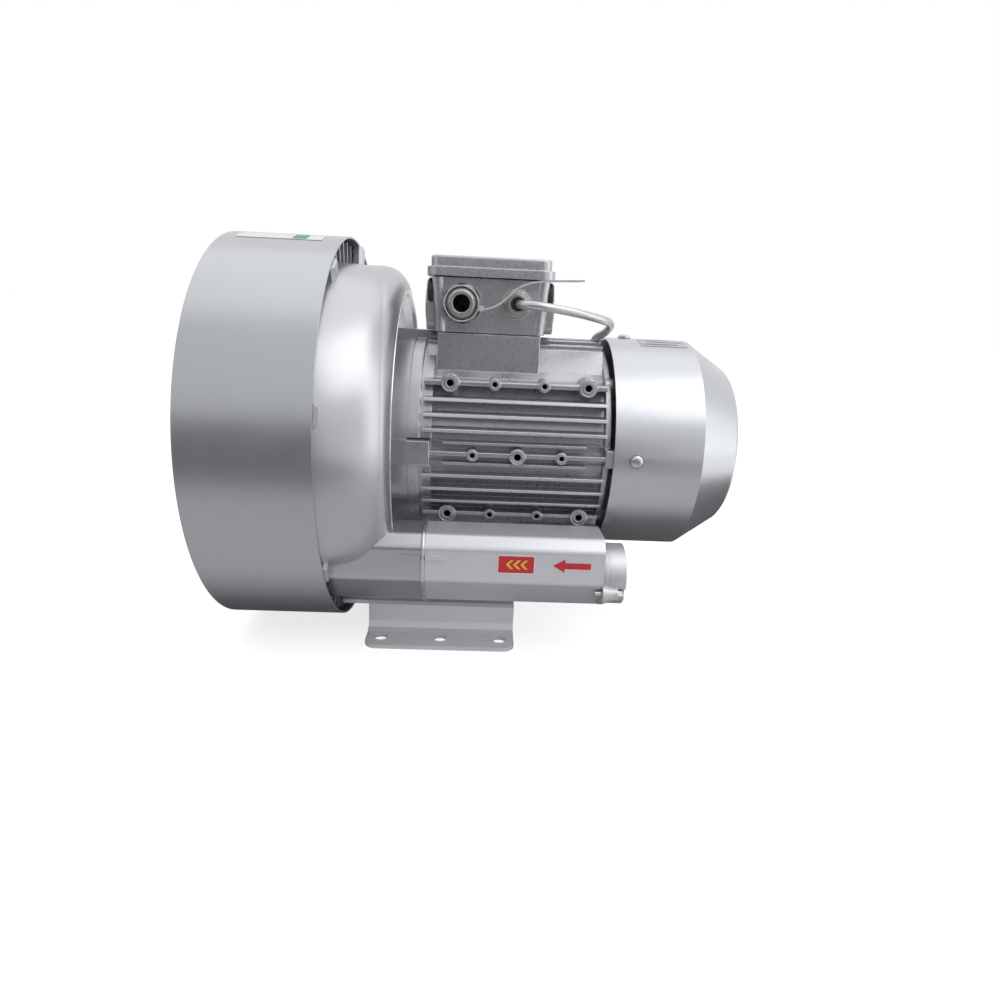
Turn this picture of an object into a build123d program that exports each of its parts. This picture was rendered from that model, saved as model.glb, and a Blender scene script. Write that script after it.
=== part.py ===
from build123d import *
from math import cos, radians, sin, sqrt, tan
import os

# Two stage side channel blower with a foot, a finned motor and two silencers.
# Millimetres. X runs along the shaft from the blower to the fan cowl, Y points
# away from the suction side and Z is up. Everything is drawn about the shaft
# axis, with x = 0 over the middle of the foot, and lifted to shaft_height when
# it is written, so that the floor is z = 0.

# Driving sizes of the whole machine
shaft_height = 200.0
ring_radius = 191.0
ring_length = 108.0
ring_wall = 1.6
ring_back_x = -98.0
housing_radius = 166.0
motor_radius = 104.0
motor_length = 184.0
cowl_radius = 107.0
cowl_barrel_length = 83.0
cowl_cone_length = 42.0
cowl_end_radius = 80.0
cowl_wall = 1.5
cowl_post_width = 16.0

# Clearances
seat_gap = 0.05
screw_gap = 0.3
rotor_side_gap = 0.5
rotor_tip_gap = 0.6
running_gap = 0.05
ring_gap = 0.3

# Blower stages
impeller_radius = 148.0
impeller_width = 22.0
blade_count = 36
blade_wall = 2.4
pocket_depth = 16.0
channel_radius = 124.0
groove_radius = 20.0
channel_start = 200.0
channel_arc = 310.0
housing_wall = 7.0
middle_width = 24.0
rear_barrel_length = 60.5
rear_edge_radius = 23.0
rear_joint_x = ring_back_x - 6.0
ring_lug_width = 20.0
ring_lug_reach = 3.0
cooling_fin_radius = 186.0
middle_fin_count = 60
cover_fin_count = 36
housing_bolt_circle = 158.0
housing_bolt_count = 8
hub_cap_floor = 3.0
hub_screw_circle = 37.0

# Shaft and bearings
shaft_seat_radius = 14.0
bearing_bore_radius = 15.0
bearing_outer_radius = 31.0
bearing_width = 16.0
shaft_body_radius = 19.0
fan_seat_radius = 12.0
ball_radius = 4.6
ball_count = 9

# Motor frame
flange_x = -34.0
frame_bore_radius = 84.0
frame_shell_radius = 90.0
neck_radius = 100.0
lug_width = 22.0
lug_radius = 107.0
motor_lug_length = 21.0
frame_bolt_radius = 3.5
frame_bolt_head = 5.0
flange_wall = 11.0
collar_length = 11.0
fin_wall = 3.0
fin_pitch = 13.5
middle_rib_wall = 3.6
ledge_height = 62.5
ledge_wall = 4.6
ledge_reach = 84.0
boss_face_y = 86.0
boss_hole_radius = 3.4
boss_hole_depth = 14.0

# Terminal box
box_middle_x = 38.5
box_width = 107.0
box_depth = 114.0
box_seat_height = 106.0
box_height = 49.0
box_taper = 6.0
box_wall = 3.5
box_corner = 8.0
box_post_radius = 6.0
lid_flange_width = 119.0
lid_flange_depth = 126.0
lid_flange_height = 8.0
lid_top_height = 10.0
gasket_wall = 1.0
gland_face_y = -box_depth / 2
power_gland_x = 12.0
power_gland_z = 133.0
power_hole_radius = 12.6
power_hexagon = 33.0
power_round_radius = 17.8
power_nut_reach = 18.5
power_dome_radius = 14.6
gland_bore_radius = 7.2
sensor_gland_x = 62.8
sensor_gland_z = 134.5
sensor_hole_radius = 8.1
sensor_hexagon = 23.0
sensor_round_radius = 12.5

# Sensor lead: its route from the small gland down between two top fins
lead_radius = 3.9
lead_seat_z = 90.0
lead_end = (143.5, -18.75)
lead_route = [
    (sensor_gland_x, -58.0, sensor_gland_z),
    (sensor_gland_x, -83.0, sensor_gland_z),
    (82.0, -92.0, 133.6),
    (116.0, -82.0, 129.5),
    (142.0, -68.0, 124.5),
    (155.0, -51.0, 121.5),
    (153.0, -34.0, 112.5),
    (146.0, -20.2, 107.5),
    (lead_end[0], lead_end[1], 101.5),
    (lead_end[0], lead_end[1], lead_seat_z),
]

# Silencers, as a section seen along the shaft: outer side, top and bottom
silencer_outer_y = 148.0
silencer_inner_y = 84.0
silencer_top_z = -66.0
silencer_bottom_z = -139.0
silencer_port_y = 115.0
silencer_port_z = -107.0
silencer_seam_x = -14.0
silencer_length = 163.0
silencer_wall = 2.5
silencer_corner = 8.0
port_ring_radius = 28.5
port_flange_radius = 30.0
port_ring_length = 17.0
port_plate_wall = 5.0
port_lug_radius = 6.5
port_lug_length = 14.5
port_bolt_radius = 2.5
port_bolt_head = 8.0
port_bolt_places = ((27.5, -10.0), (-27.5, 10.0))
silencer_end_wall = 8.0
rib_height = 1.5
duct_rib_z = -85.5
port_radius = 22.4
duct_radius = 20.0

# Foot
foot_hole_pitch = 120.4
foot_hole_spread = 169.0
foot_hole_radius = 7.0
foot_length = 150.0
foot_width = 206.0
foot_wall = 4.0
foot_top_width = 132.0
foot_top_z = -166.0
foot_tongue_length = 27.0
foot_bend = 9.0

# Stations along the shaft
rear_cavity_x = rear_joint_x + impeller_width + 2 * rotor_side_gap
rear_web_x = rear_cavity_x + groove_radius + housing_wall
rear_rim_x = rear_joint_x + rear_barrel_length
front_joint_x = rear_joint_x - middle_width
front_cavity_x = front_joint_x - impeller_width - 2 * rotor_side_gap
front_face_x = front_cavity_x - groove_radius - housing_wall
cavity_radius = impeller_radius + rotor_tip_gap
ring_front_x = ring_back_x - ring_length
ring_bore_radius = ring_radius - ring_wall
spacer_x0 = front_joint_x - rotor_side_gap
spacer_x1 = rear_joint_x + rotor_side_gap
nut_x = spacer_x0 - impeller_width
key_x0 = nut_x + 3.0
key_x1 = spacer_x1 + impeller_width - 1.0
drive_bearing_x = rear_web_x + 2.0
frame_back_x = flange_x + motor_length
core_x0 = flange_x + 56.0
core_x1 = core_x0 + 100.0
fan_shield_x = frame_back_x
fan_bearing_x = fan_shield_x + 2.0
fan_x = fan_bearing_x + bearing_width + 38.0
fan_width = 30.0
clip_x = fan_x + fan_width + 0.2
shaft_end_x = clip_x + 6.0
cowl_x = frame_back_x + 7.0
cone_x = cowl_x + cowl_barrel_length
cowl_end_x = cone_x + cowl_cone_length
cowl_screw_x = cowl_x + 21.0
frame_bolt_seat = rear_cavity_x + 7.0

# Patterns of bolts, lugs and bosses
ring_lug_angles = [167.1 + 45.0 * i for i in range(8) if i != 2]
bolt_angles = [5.0 + 360.0 / housing_bolt_count * i for i in range(housing_bolt_count)]
frame_lug_angles = (0.0, 90.0, 180.0, 270.0)
frame_bolt_circle = lug_radius - 10.0
ring_screw_angles = (40.0, 130.0, 220.0, 310.0)
ring_screw_circle = 178.0
hub_screw_angles = (90.0, 210.0, 330.0)
shield_bolt_circle = 88.5
shield_bolt_angles = (45.0, 135.0, 225.0, 315.0)
boss_stations = (4.0, 45.0, 91.0, 132.0)
middle_boss_stations = (26.5, 68.0, 109.0)
side_fin_rows = (21.0, 21.0 + fin_pitch, 21.0 + 2 * fin_pitch)
foot_bolt_stations = (rear_joint_x + 10, rear_rim_x - 17)
foot_bolt_rows = (-42.5, 42.5)
box_bolt_stations = (box_middle_x - 38, box_middle_x + 38)
box_bolt_rows = (-38.0, 38.0)
box_lid_stations = (box_middle_x - 43, box_middle_x + 43)
box_lid_rows = (-46.5, 46.5)

os.makedirs("parts", exist_ok=True)


def rod(radius, x0, x1, y=0.0, z=0.0):
    """Round bar along X between two stations."""
    return extrude(Plane.YZ.offset(x0) * Pos(y, z) * Circle(radius), amount=x1 - x0)


def tube(outer, inner, x0, x1, y=0.0, z=0.0):
    """Round tube along X between two stations."""
    return rod(outer, x0, x1, y, z) - rod(inner, x0 - 1, x1 + 1, y, z)


def turned(*points):
    """Solid of revolution about the shaft from an outline of (x, radius)."""
    face = Plane.XZ * make_face(Polyline(*points, close=True))
    return revolve(face, axis=Axis.X, revolution_arc=360)


def block(x0, x1, y0, y1, z0, z1):
    """Box between two corners."""
    place = Pos((x0 + x1) / 2, (y0 + y1) / 2, (z0 + z1) / 2)
    return place * Box(abs(x1 - x0), abs(y1 - y0), abs(z1 - z0))


def spoke(x0, x1, r0, r1, width):
    """Block that stands out from the shaft along +Y, ready to be turned."""
    return block(x0, x1, r0, r1, -width / 2, width / 2)


def around(shape, angles):
    """Copies of a shape, turned about the shaft to the given angles."""
    return [Rot(a, 0, 0) * shape for a in angles]


def spaced(count, start=0.0):
    """Even angles round the shaft."""
    return [start + 360.0 * i / count for i in range(count)]


def join(shapes):
    """Group of separate solids for one node."""
    solids = []
    for shape in shapes:
        solids.extend(shape.solids())
    return Compound(children=solids)


def bar_y(radius, y0, y1, x, z):
    """Round bar along Y."""
    plane = Plane((x, y0, z), x_dir=(1, 0, 0), z_dir=(0, 1, 0))
    return extrude(plane * Circle(radius), amount=y1 - y0)


def bar_z(radius, z0, z1, x, y):
    """Round bar along Z."""
    return extrude(Plane.XY.offset(z0) * Pos(x, y) * Circle(radius), amount=z1 - z0)


def hex_y(across, y0, y1, x, z, turn=0.0):
    """Hexagon prism along Y."""
    plane = Plane((x, y0, z), x_dir=(1, 0, 0), z_dir=(0, 1, 0))
    sketch = RegularPolygon(across / 2, 6, major_radius=False, rotation=turn)
    return extrude(plane * sketch, amount=y1 - y0)


def bolt_x(x_seat, x_tip, head, radius, across, y, z):
    """Hexagon bolt along X: head from x_seat to x_seat + head, shank to x_tip."""
    sketch = Pos(y, z) * RegularPolygon(across / 2, 6, major_radius=False)
    cap = extrude(Plane.YZ.offset(x_seat) * sketch, amount=head)
    return cap + rod(radius, x_seat, x_tip, y, z)


def polar(radius, angle):
    """Y and Z of a point at an angle from +Y towards +Z."""
    return radius * cos(radians(angle)), radius * sin(radians(angle))


def duct_section(side, inset=0.0):
    """Outline of a silencer and its duct, seen along X; side is -1 or +1."""
    y_out = silencer_outer_y - inset
    y_in = silencer_inner_y + inset
    top = silencer_top_z - inset
    bottom = silencer_bottom_z + inset
    points = [
        (y_out, top - 10 + inset / 2),
        (y_out, bottom + 32 - inset / 2),
        (y_out - 30 + inset / 2, bottom),
        (y_in, bottom),
        (y_in, top - 16 + inset / 2),
        (y_in + 14 - inset / 2, top),
        (y_out - 10 + inset / 2, top),
    ]
    outline = make_face(Polyline(*[(side * y, z) for y, z in points], close=True))
    return fillet(outline.vertices(), silencer_corner - inset)


def duct_bar(side, x0, x1, inset=0.0):
    """Prism of the duct section along X."""
    return extrude(Plane.YZ.offset(x0) * duct_section(side, inset), amount=x1 - x0)


def duct_rib(side, x0, x1):
    """Low cast rib along the outer face of a duct."""
    y = side * silencer_outer_y
    return block(x0, x1, y - side * 4, y + side * rib_height, duct_rib_z - 2.2, duct_rib_z + 2.2)


def channel(x, direction):
    """Half round side channel, open towards the impeller, with its stripper left solid."""
    plane = Plane.XZ * Pos(x, channel_radius) * Circle(groove_radius)
    ring = Rot(channel_start, 0, 0) * revolve(plane, axis=Axis.X, revolution_arc=channel_arc)
    return ring & rod(housing_radius, x, x + direction * groove_radius * 1.2)


def rear_housing():
    """Rear casing: smooth bell, recessed back, neck with lugs, ducts and foot pads."""
    edge_x = rear_rim_x - rear_edge_radius
    edge_r = housing_radius - rear_edge_radius
    mid = rear_edge_radius * cos(radians(45))
    outline = Polyline(
        (rear_rim_x, edge_r),
        (rear_rim_x, edge_r - 3),
        (rear_rim_x - 3, edge_r - 4),
        (rear_web_x, edge_r - 10),
        (rear_web_x, neck_radius),
        (flange_x, neck_radius),
        (flange_x, neck_radius - 10),
        (rear_web_x + 2, neck_radius - 10),
        (rear_web_x + 2, bearing_outer_radius + 8),
        (drive_bearing_x + bearing_width, bearing_outer_radius + 8),
        (drive_bearing_x + bearing_width, bearing_outer_radius + seat_gap),
        (drive_bearing_x, bearing_outer_radius + seat_gap),
        (drive_bearing_x, bearing_outer_radius - 3),
        (rear_web_x - 8, bearing_outer_radius - 3),
        (rear_web_x - 8, shaft_seat_radius + 3),
        (rear_cavity_x, shaft_seat_radius + 3),
        (rear_cavity_x, cavity_radius),
        (rear_joint_x, cavity_radius),
        (rear_joint_x, housing_radius),
        (edge_x, housing_radius),
    )
    bend = ThreePointArc(
        (edge_x, housing_radius), (edge_x + mid, edge_r + mid), (rear_rim_x, edge_r)
    )
    body = revolve(Plane.XZ * make_face([outline, bend]), axis=Axis.X, revolution_arc=360)
    for side in (-1, 1):
        body += duct_bar(side, rear_joint_x, silencer_seam_x)
    ring_lug = spoke(
        rear_joint_x, ring_back_x + ring_lug_reach, 160, ring_bore_radius - ring_gap, ring_lug_width)
    ring_lug = chamfer(ring_lug.edges().filter_by(Axis.Y).group_by(Axis.X)[-1], ring_lug_reach)
    body += around(ring_lug, ring_lug_angles)
    lug = spoke(rear_web_x - 1, flange_x, neck_radius - 6, lug_radius, lug_width)
    body += around(lug, frame_lug_angles)
    for side in (-1, 1):
        body += duct_rib(side, flange_x, silencer_seam_x - 2)
    for side in (-1, 1):
        body += block(rear_joint_x, rear_rim_x - 7, side * 25, side * 60, foot_top_z, -145)
    # Everything that is cut away
    body -= turned(
        (rear_joint_x - 1, 0), (rear_joint_x - 1, cavity_radius),
        (rear_cavity_x, cavity_radius), (rear_cavity_x, 0),
    )
    body -= rod(shaft_seat_radius + 3, rear_cavity_x - 1, rear_web_x)
    body -= channel(rear_cavity_x, 1)
    for side in (-1, 1):
        y = side * silencer_port_y
        body -= rod(duct_radius, rear_web_x - 8, silencer_seam_x + 1, y, silencer_port_z)
    body -= duct_bar(1, rear_cavity_x, rear_web_x - 6, 5)
    passage = duct_bar(-1, rear_joint_x - 1, rear_web_x - 6, 5)
    body -= passage - rod(cavity_radius + 3, rear_joint_x - 2, rear_web_x)
    for angle in bolt_angles:
        y, z = polar(housing_bolt_circle, angle)
        body -= rod(4 + seat_gap, rear_joint_x - 1, rear_joint_x + 20, y, z)
    for angle in frame_lug_angles:
        y, z = polar(frame_bolt_circle, angle)
        body -= rod(frame_bolt_head + screw_gap, rear_cavity_x - 1, frame_bolt_seat, y, z)
        body -= rod(frame_bolt_radius + screw_gap, rear_cavity_x, flange_x + 1, y, z)
    for x in foot_bolt_stations:
        for y in foot_bolt_rows:
            body -= bar_z(4 + seat_gap, foot_top_z - 1, foot_top_z + 15, x, y)
    return body


def middle_housing():
    """Plate between the two stages, with cooling fins and the suction duct."""
    body = rod(housing_radius, front_joint_x, rear_joint_x)
    body += duct_bar(-1, front_joint_x, rear_joint_x)
    fin = spoke(front_joint_x, rear_joint_x, housing_radius - 4, cooling_fin_radius, fin_wall)
    body += around(fin, spaced(middle_fin_count))
    body -= rod(20 + ring_gap, front_joint_x - 1, rear_joint_x + 1)
    passage = duct_bar(-1, front_joint_x - 1, rear_joint_x + 1, 5)
    body -= passage - rod(cavity_radius + 3, front_joint_x - 2, rear_joint_x + 2)
    outer = housing_radius - 4
    transfer = spoke(front_joint_x - 1, rear_joint_x + 1, cavity_radius + 2, outer, 24)
    body -= Rot(-62, 0, 0) * transfer
    for angle in bolt_angles:
        y, z = polar(housing_bolt_circle, angle)
        body -= rod(4 + screw_gap, front_joint_x - 1, rear_joint_x + 1, y, z)
    return body


def front_cover():
    """Front casing: channel bulge, hub and radial cooling fins inside the ring."""
    body = turned(
        (front_joint_x, 0),
        (front_joint_x, housing_radius),
        (front_joint_x - 12, housing_radius),
        (front_joint_x - 14, cavity_radius + 4),
        (front_cavity_x - 8, cavity_radius + 3),
        (front_face_x + 6, channel_radius + 14),
        (front_face_x, channel_radius + 5),
        (front_face_x, channel_radius - 8),
        (front_face_x + 14, channel_radius - 28),
        (front_face_x + 14, 48),
        (front_face_x + 2, 44),
        (front_face_x + 2, 0),
    )
    body += duct_bar(-1, front_face_x + 8, front_joint_x)
    fin = spoke(front_face_x - 12, front_joint_x, 50, cooling_fin_radius, fin_wall)
    fin = fin - block(front_face_x - 20, front_joint_x - 13, 151, 165.5, -3, 3)
    body += around(fin, spaced(cover_fin_count))
    tab_seat = spoke(front_face_x - 12, front_face_x + 12, 150, 187, 20)
    body += around(tab_seat, ring_screw_angles)
    body -= turned(
        (front_joint_x + 1, 0), (front_joint_x + 1, cavity_radius),
        (front_cavity_x, cavity_radius), (front_cavity_x, 0),
    )
    body -= rod(31, front_face_x, front_cavity_x + 1)
    body -= channel(front_cavity_x, -1)
    body -= duct_bar(-1, front_cavity_x - 16, front_joint_x + 1, 5) - rod(
        cavity_radius + 3, front_cavity_x, front_joint_x + 2)
    outer = housing_radius - 4
    transfer = spoke(front_cavity_x - 12, front_joint_x + 1, cavity_radius - 8, outer, 24)
    body -= Rot(-62, 0, 0) * transfer
    for angle in bolt_angles:
        y, z = polar(housing_bolt_circle, angle)
        body -= rod(4 + screw_gap, front_face_x - 20, front_joint_x + 1, y, z)
        body -= rod(9, front_face_x - 20, front_joint_x - 12, y, z)
    for angle in ring_screw_angles:
        y, z = polar(ring_screw_circle, angle)
        body -= rod(2.5 + seat_gap, front_face_x - 13, front_face_x + 6, y, z)
    for angle in hub_screw_angles:
        y, z = polar(hub_screw_circle, angle)
        body -= rod(2.5 + seat_gap, front_face_x, front_face_x + 14, y, z)
    body -= rod(45, front_face_x - 14, front_face_x + 2)
    return body


def cover_ring():
    """Sheet ring round the casing, with four tabs that are screwed to the front cover."""
    body = tube(ring_radius, ring_bore_radius, ring_front_x, ring_back_x)
    tab = spoke(front_face_x - 13.6, front_face_x - 12, 170, ring_bore_radius + 0.5, 18)
    for angle in ring_screw_angles:
        body += Rot(angle, 0, 0) * tab
        y, z = polar(ring_screw_circle, angle)
        body -= rod(2.5 + screw_gap, front_face_x - 15, front_face_x - 11, y, z)
    return body


def ring_screws():
    """Four short screws through the ring tabs."""
    shapes = []
    seat = front_face_x - 13.6
    for angle in ring_screw_angles:
        y, z = polar(ring_screw_circle, angle)
        shapes.append(bolt_x(seat, seat + 14, -4, 2.5, 8, y, z))
    return join(shapes)


def housing_bolts():
    """Long bolts that clamp the front cover and the middle plate to the rear housing."""
    shapes = []
    seat = front_joint_x - 12
    for angle in bolt_angles:
        y, z = polar(housing_bolt_circle, angle)
        shapes.append(bolt_x(seat, rear_joint_x + 18, -5.3, 4, 13, y, z))
    return join(shapes)


def hub_cap():
    """Round cap over the shaft nut."""
    seat = front_face_x + 2
    body = turned((seat, 0), (seat, 44), (seat - 4, 44), (seat - 7, 30), (seat - 7, 0))
    body -= turned((seat + 1, 0), (seat + 1, 28), (seat - 4, 28), (seat - 4, 0))
    for angle in hub_screw_angles:
        y, z = polar(hub_screw_circle, angle)
        body -= rod(2.5 + screw_gap, seat - 8, seat + 1, y, z)
        body -= rod(4.8, seat - 8, seat - hub_cap_floor, y, z)
    return body


def hub_cap_screws():
    """Three screws of the hub cap."""
    shapes = []
    seat = front_face_x + 2 - hub_cap_floor
    for angle in hub_screw_angles:
        y, z = polar(hub_screw_circle, angle)
        head = turned((0, 0), (0, 4.4), (-2, 4), (-3.2, 2.2), (-3.2, 0))
        shapes.append(Pos(seat, y, z) * head + rod(2.5, seat, seat + 14, y, z))
    return join(shapes)


def impeller(direction):
    """Bladed wheel; its pockets open towards +X (1) or -X (-1). Open face at x = 0."""
    back = impeller_width
    body = turned(
        (0, shaft_seat_radius + seat_gap),
        (-back, shaft_seat_radius + seat_gap),
        (-back, 32),
        (-back + 6, 38),
        (-back + 6, channel_radius - groove_radius - 6),
        (-back, channel_radius - groove_radius - 2),
        (-back, impeller_radius),
        (0, impeller_radius),
        (0, channel_radius - groove_radius - 4),
        (-back + 12, channel_radius - groove_radius - 8),
        (-back + 12, 38),
        (0, 32),
    )
    pocket = turned(
        (1, channel_radius - groove_radius),
        (0, channel_radius - groove_radius),
        (-pocket_depth * 0.7, channel_radius - groove_radius * 0.6),
        (-pocket_depth, channel_radius),
        (-pocket_depth * 0.7, channel_radius + groove_radius * 0.6),
        (0, channel_radius + groove_radius),
        (1, channel_radius + groove_radius),
    )
    low = channel_radius - groove_radius
    blade = spoke(-pocket_depth - 1, 0, low - 1, low + 2 * groove_radius + 1, blade_wall)
    body = body - pocket + around(blade, spaced(blade_count))
    body -= block(-back - 1, 1, -4, 4, 0, shaft_seat_radius + 3)
    if direction < 0:
        body = Rot(0, 0, 180) * body
    return body


def shaft():
    """Motor shaft, stepped for the impellers, bearings, rotor core and fan."""
    body = turned(
        (nut_x - 14, 0), (nut_x - 14, 8), (nut_x + 1, 8),
        (nut_x + 1, shaft_seat_radius),
        (drive_bearing_x - 2, shaft_seat_radius),
        (drive_bearing_x - 2, bearing_bore_radius),
        (drive_bearing_x + bearing_width, bearing_bore_radius),
        (drive_bearing_x + bearing_width, shaft_body_radius),
        (fan_bearing_x, shaft_body_radius),
        (fan_bearing_x, bearing_bore_radius),
        (fan_bearing_x + bearing_width, bearing_bore_radius),
        (fan_bearing_x + bearing_width, fan_seat_radius),
        (clip_x, fan_seat_radius), (clip_x, fan_seat_radius - 1),
        (clip_x + 1.6, fan_seat_radius - 1), (clip_x + 1.6, fan_seat_radius),
        (shaft_end_x, fan_seat_radius - 1), (shaft_end_x, 0),
    )
    body -= block(key_x0, key_x1, -4, 4, shaft_seat_radius - 4, shaft_seat_radius + 1)
    return body


def bearing_outer(x):
    """Outer race of a deep groove ball bearing."""
    body = tube(bearing_outer_radius, bearing_outer_radius - 5, x + 0.1, x + bearing_width - 0.1)
    return body - race_groove(x)


def bearing_inner(x):
    """Inner race of a deep groove ball bearing."""
    body = tube(bearing_bore_radius + 4.6, bearing_bore_radius + 0.02, x + 0.1, x + bearing_width - 0.1)
    return body - race_groove(x)


def race_groove(x):
    """Track of the balls, a little wider than they are."""
    middle = (bearing_bore_radius + bearing_outer_radius) / 2 - 0.2
    circle = Plane.XZ * Pos(x + bearing_width / 2, middle) * Circle(ball_radius + running_gap)
    return revolve(circle, axis=Axis.X, revolution_arc=360)


def bearing_balls(x):
    """Ball set of one bearing."""
    middle = (bearing_bore_radius + bearing_outer_radius) / 2 - 0.2
    ball = Pos(x + bearing_width / 2, middle, 0) * Sphere(ball_radius)
    return join(around(ball, spaced(ball_count)))


def shaft_seal():
    """Lip seal between the rear stage and the drive end bearing."""
    x0 = rear_web_x - 8
    lip = shaft_seat_radius + running_gap
    return turned(
        (x0 + 0.1, lip + 3), (x0 + 0.1, bearing_outer_radius - 3 - seat_gap),
        (x0 + 7, bearing_outer_radius - 3 - seat_gap), (x0 + 7, bearing_outer_radius - 6),
        (x0 + 3, bearing_outer_radius - 6), (x0 + 3, lip + 2.5), (x0 + 6, lip), (x0 + 5, lip),
    )


def frame_section():
    """Cross section of the finned barrel without its bore."""
    hull = Circle(frame_shell_radius)
    hull += Rectangle(2 * 62, 2 * 66) & Circle(frame_shell_radius + 4)
    for z in side_fin_rows:
        for side in (-1, 1):
            hull += Pos(0, side * z) * Rectangle(2 * motor_radius, fin_wall)
    for side in (-1, 1):
        hull += Pos(0, side * 9.5) * Rectangle(2 * (motor_radius - 3), 2.4)
        hull += Pos(0, side * ledge_height) * Rectangle(2 * ledge_reach, ledge_wall)
    hull += Rectangle(2 * motor_radius, middle_rib_wall)
    hull += Pos(0, -ledge_height - 8) * Rectangle(2 * ledge_reach - 10, 16)
    hull += Pos(0, -76) * Rectangle(88, 20)
    hull += make_face(Polyline((-59, 60), (59, 60), (43, 94), (-43, 94), close=True))
    for i in range(-3, 4):
        hull += Pos(12.5 * i, 0) * Rectangle(fin_wall, 2 * motor_radius)
    return hull & Circle(motor_radius + 1.5)


def motor_frame():
    """Finned barrel with bolt ledges, lugs and the seat of the terminal box."""
    x0 = flange_x
    x1 = frame_back_x
    fin_x = x0 + flange_wall + 3
    body = extrude(Plane.YZ.offset(fin_x) * frame_section(), amount=x1 - fin_x)
    body += rod(neck_radius - 1, x0, x0 + flange_wall)
    body += rod(neck_radius - 3, x0 + flange_wall - 1, x0 + flange_wall + collar_length)
    # The outer side fins have notches, and the short ribs end before the others
    for side in (-1, 1):
        for z in (side_fin_rows[2], -side_fin_rows[2]):
            for x in (x0 + 62, x0 + 128):
                body -= block(x, x + 4, side * 99, side * 110, z - 5, z + 5)
            body -= block(x0 + 66, x0 + 128, side * 101, side * 110, z - 5, z + 5)
        for z in (9.5, -9.5):
            body -= block(x0 - 1, x0 + 33, side * 91.5, side * 112, z - 3, z + 3)
            body -= block(x1 - 18, x1 + 1, side * 91.5, side * 112, z - 3, z + 3)
    lug = spoke(x0, x0 + motor_lug_length, 84, lug_radius, lug_width)
    body += around(lug, frame_lug_angles)
    for side in (-1, 1):
        for x, y, z, radius, hole in boss_table():
            body += bar_y(radius, side * (y - 24), side * y, x, z)
    body += block(
        box_middle_x - box_width / 2 + 5, box_middle_x + box_width / 2 - 5,
        -box_depth / 2 + 2, box_depth / 2 - 2, 60, box_seat_height,
    )
    body -= rod(frame_bore_radius + seat_gap, x0 - 1, x1 + 1)
    body -= block(
        box_middle_x - 30, box_middle_x + 30, -26, 26, 60, box_seat_height + 1,
    )
    for side in (-1, 1):
        for x, y, z, radius, hole in boss_table():
            body -= bar_y(hole, side * (y - boss_hole_depth), side * (y + 1), x, z)
    for angle in frame_lug_angles:
        y, z = polar(frame_bolt_circle, angle)
        body -= rod(frame_bolt_radius + seat_gap, x0 - 1, x0 + 15, y, z)
    for angle in shield_bolt_angles:
        y, z = polar(shield_bolt_circle, angle)
        body -= rod(2.5 + seat_gap, x1 - 14, x1 + 1, y, z)
    for x in box_bolt_stations:
        for y in box_bolt_rows:
            body -= bar_z(2.5 + seat_gap, box_seat_height - 12, box_seat_height + 1, x, y)
    body -= bar_z(lead_radius + 0.4, lead_seat_z, 120, lead_end[0], lead_end[1])
    return body


def boss_table():
    """Threaded bosses on one side: place, outer radius and hole radius."""
    rows = []
    for z in (ledge_height, -ledge_height):
        for i, x in enumerate(boss_stations):
            big = i in (0, 3)
            rows.append((x, boss_face_y, z, 8.5 if big else 5.5, boss_hole_radius if big else 2.5))
    for i, x in enumerate(middle_boss_stations):
        big = i == 1
        face = motor_radius + (1.0 if big else 0.0)
        rows.append((x, face, -1.0, 7.5 if big else 5.5, boss_hole_radius if big else 2.5))
    return rows


def frame_bolts():
    """Bolts from inside the rear housing, through its lugs, into the lugs of the motor."""
    shapes = []
    for angle in frame_lug_angles:
        y, z = polar(frame_bolt_circle, angle)
        head = rod(frame_bolt_head, rear_cavity_x + 0.6, frame_bolt_seat, y, z)
        shapes.append(head + rod(frame_bolt_radius, frame_bolt_seat, flange_x + 14, y, z))
    return join(shapes)


def stator_core():
    """Stack of stator sheets with slots towards the rotor."""
    body = tube(frame_bore_radius, 53.5, core_x0, core_x1)
    slot = spoke(core_x0 - 1, core_x1 + 1, 50, 68, 5)
    return body - around(slot, spaced(24))


def stator_windings():
    """End turns of the winding on both sides of the stator core."""
    shapes = []
    for x0, x1 in ((core_x0 - 28, core_x0), (core_x1, core_x1 + 24)):
        shapes.append(turned(
            (x0, 62), (x0, 74), (x0 + 4, 79), (x1 - 3, 79),
            (x1, 76), (x1, 58), (x1 - 4, 57), (x0 + 4, 57),
        ))
    return join(shapes)


def rotor_core():
    """Squirrel cage rotor with end rings and balance fins."""
    body = tube(53.0, shaft_body_radius + 0.02, core_x0, core_x1)
    for x0, x1 in ((core_x0 - 9, core_x0), (core_x1, core_x1 + 9)):
        body += tube(50.0, 34.0, x0, x1)
    fin = spoke(core_x0 - 18, core_x0 - 9, 36, 49, 4)
    return body + around(fin, spaced(8))


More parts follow.
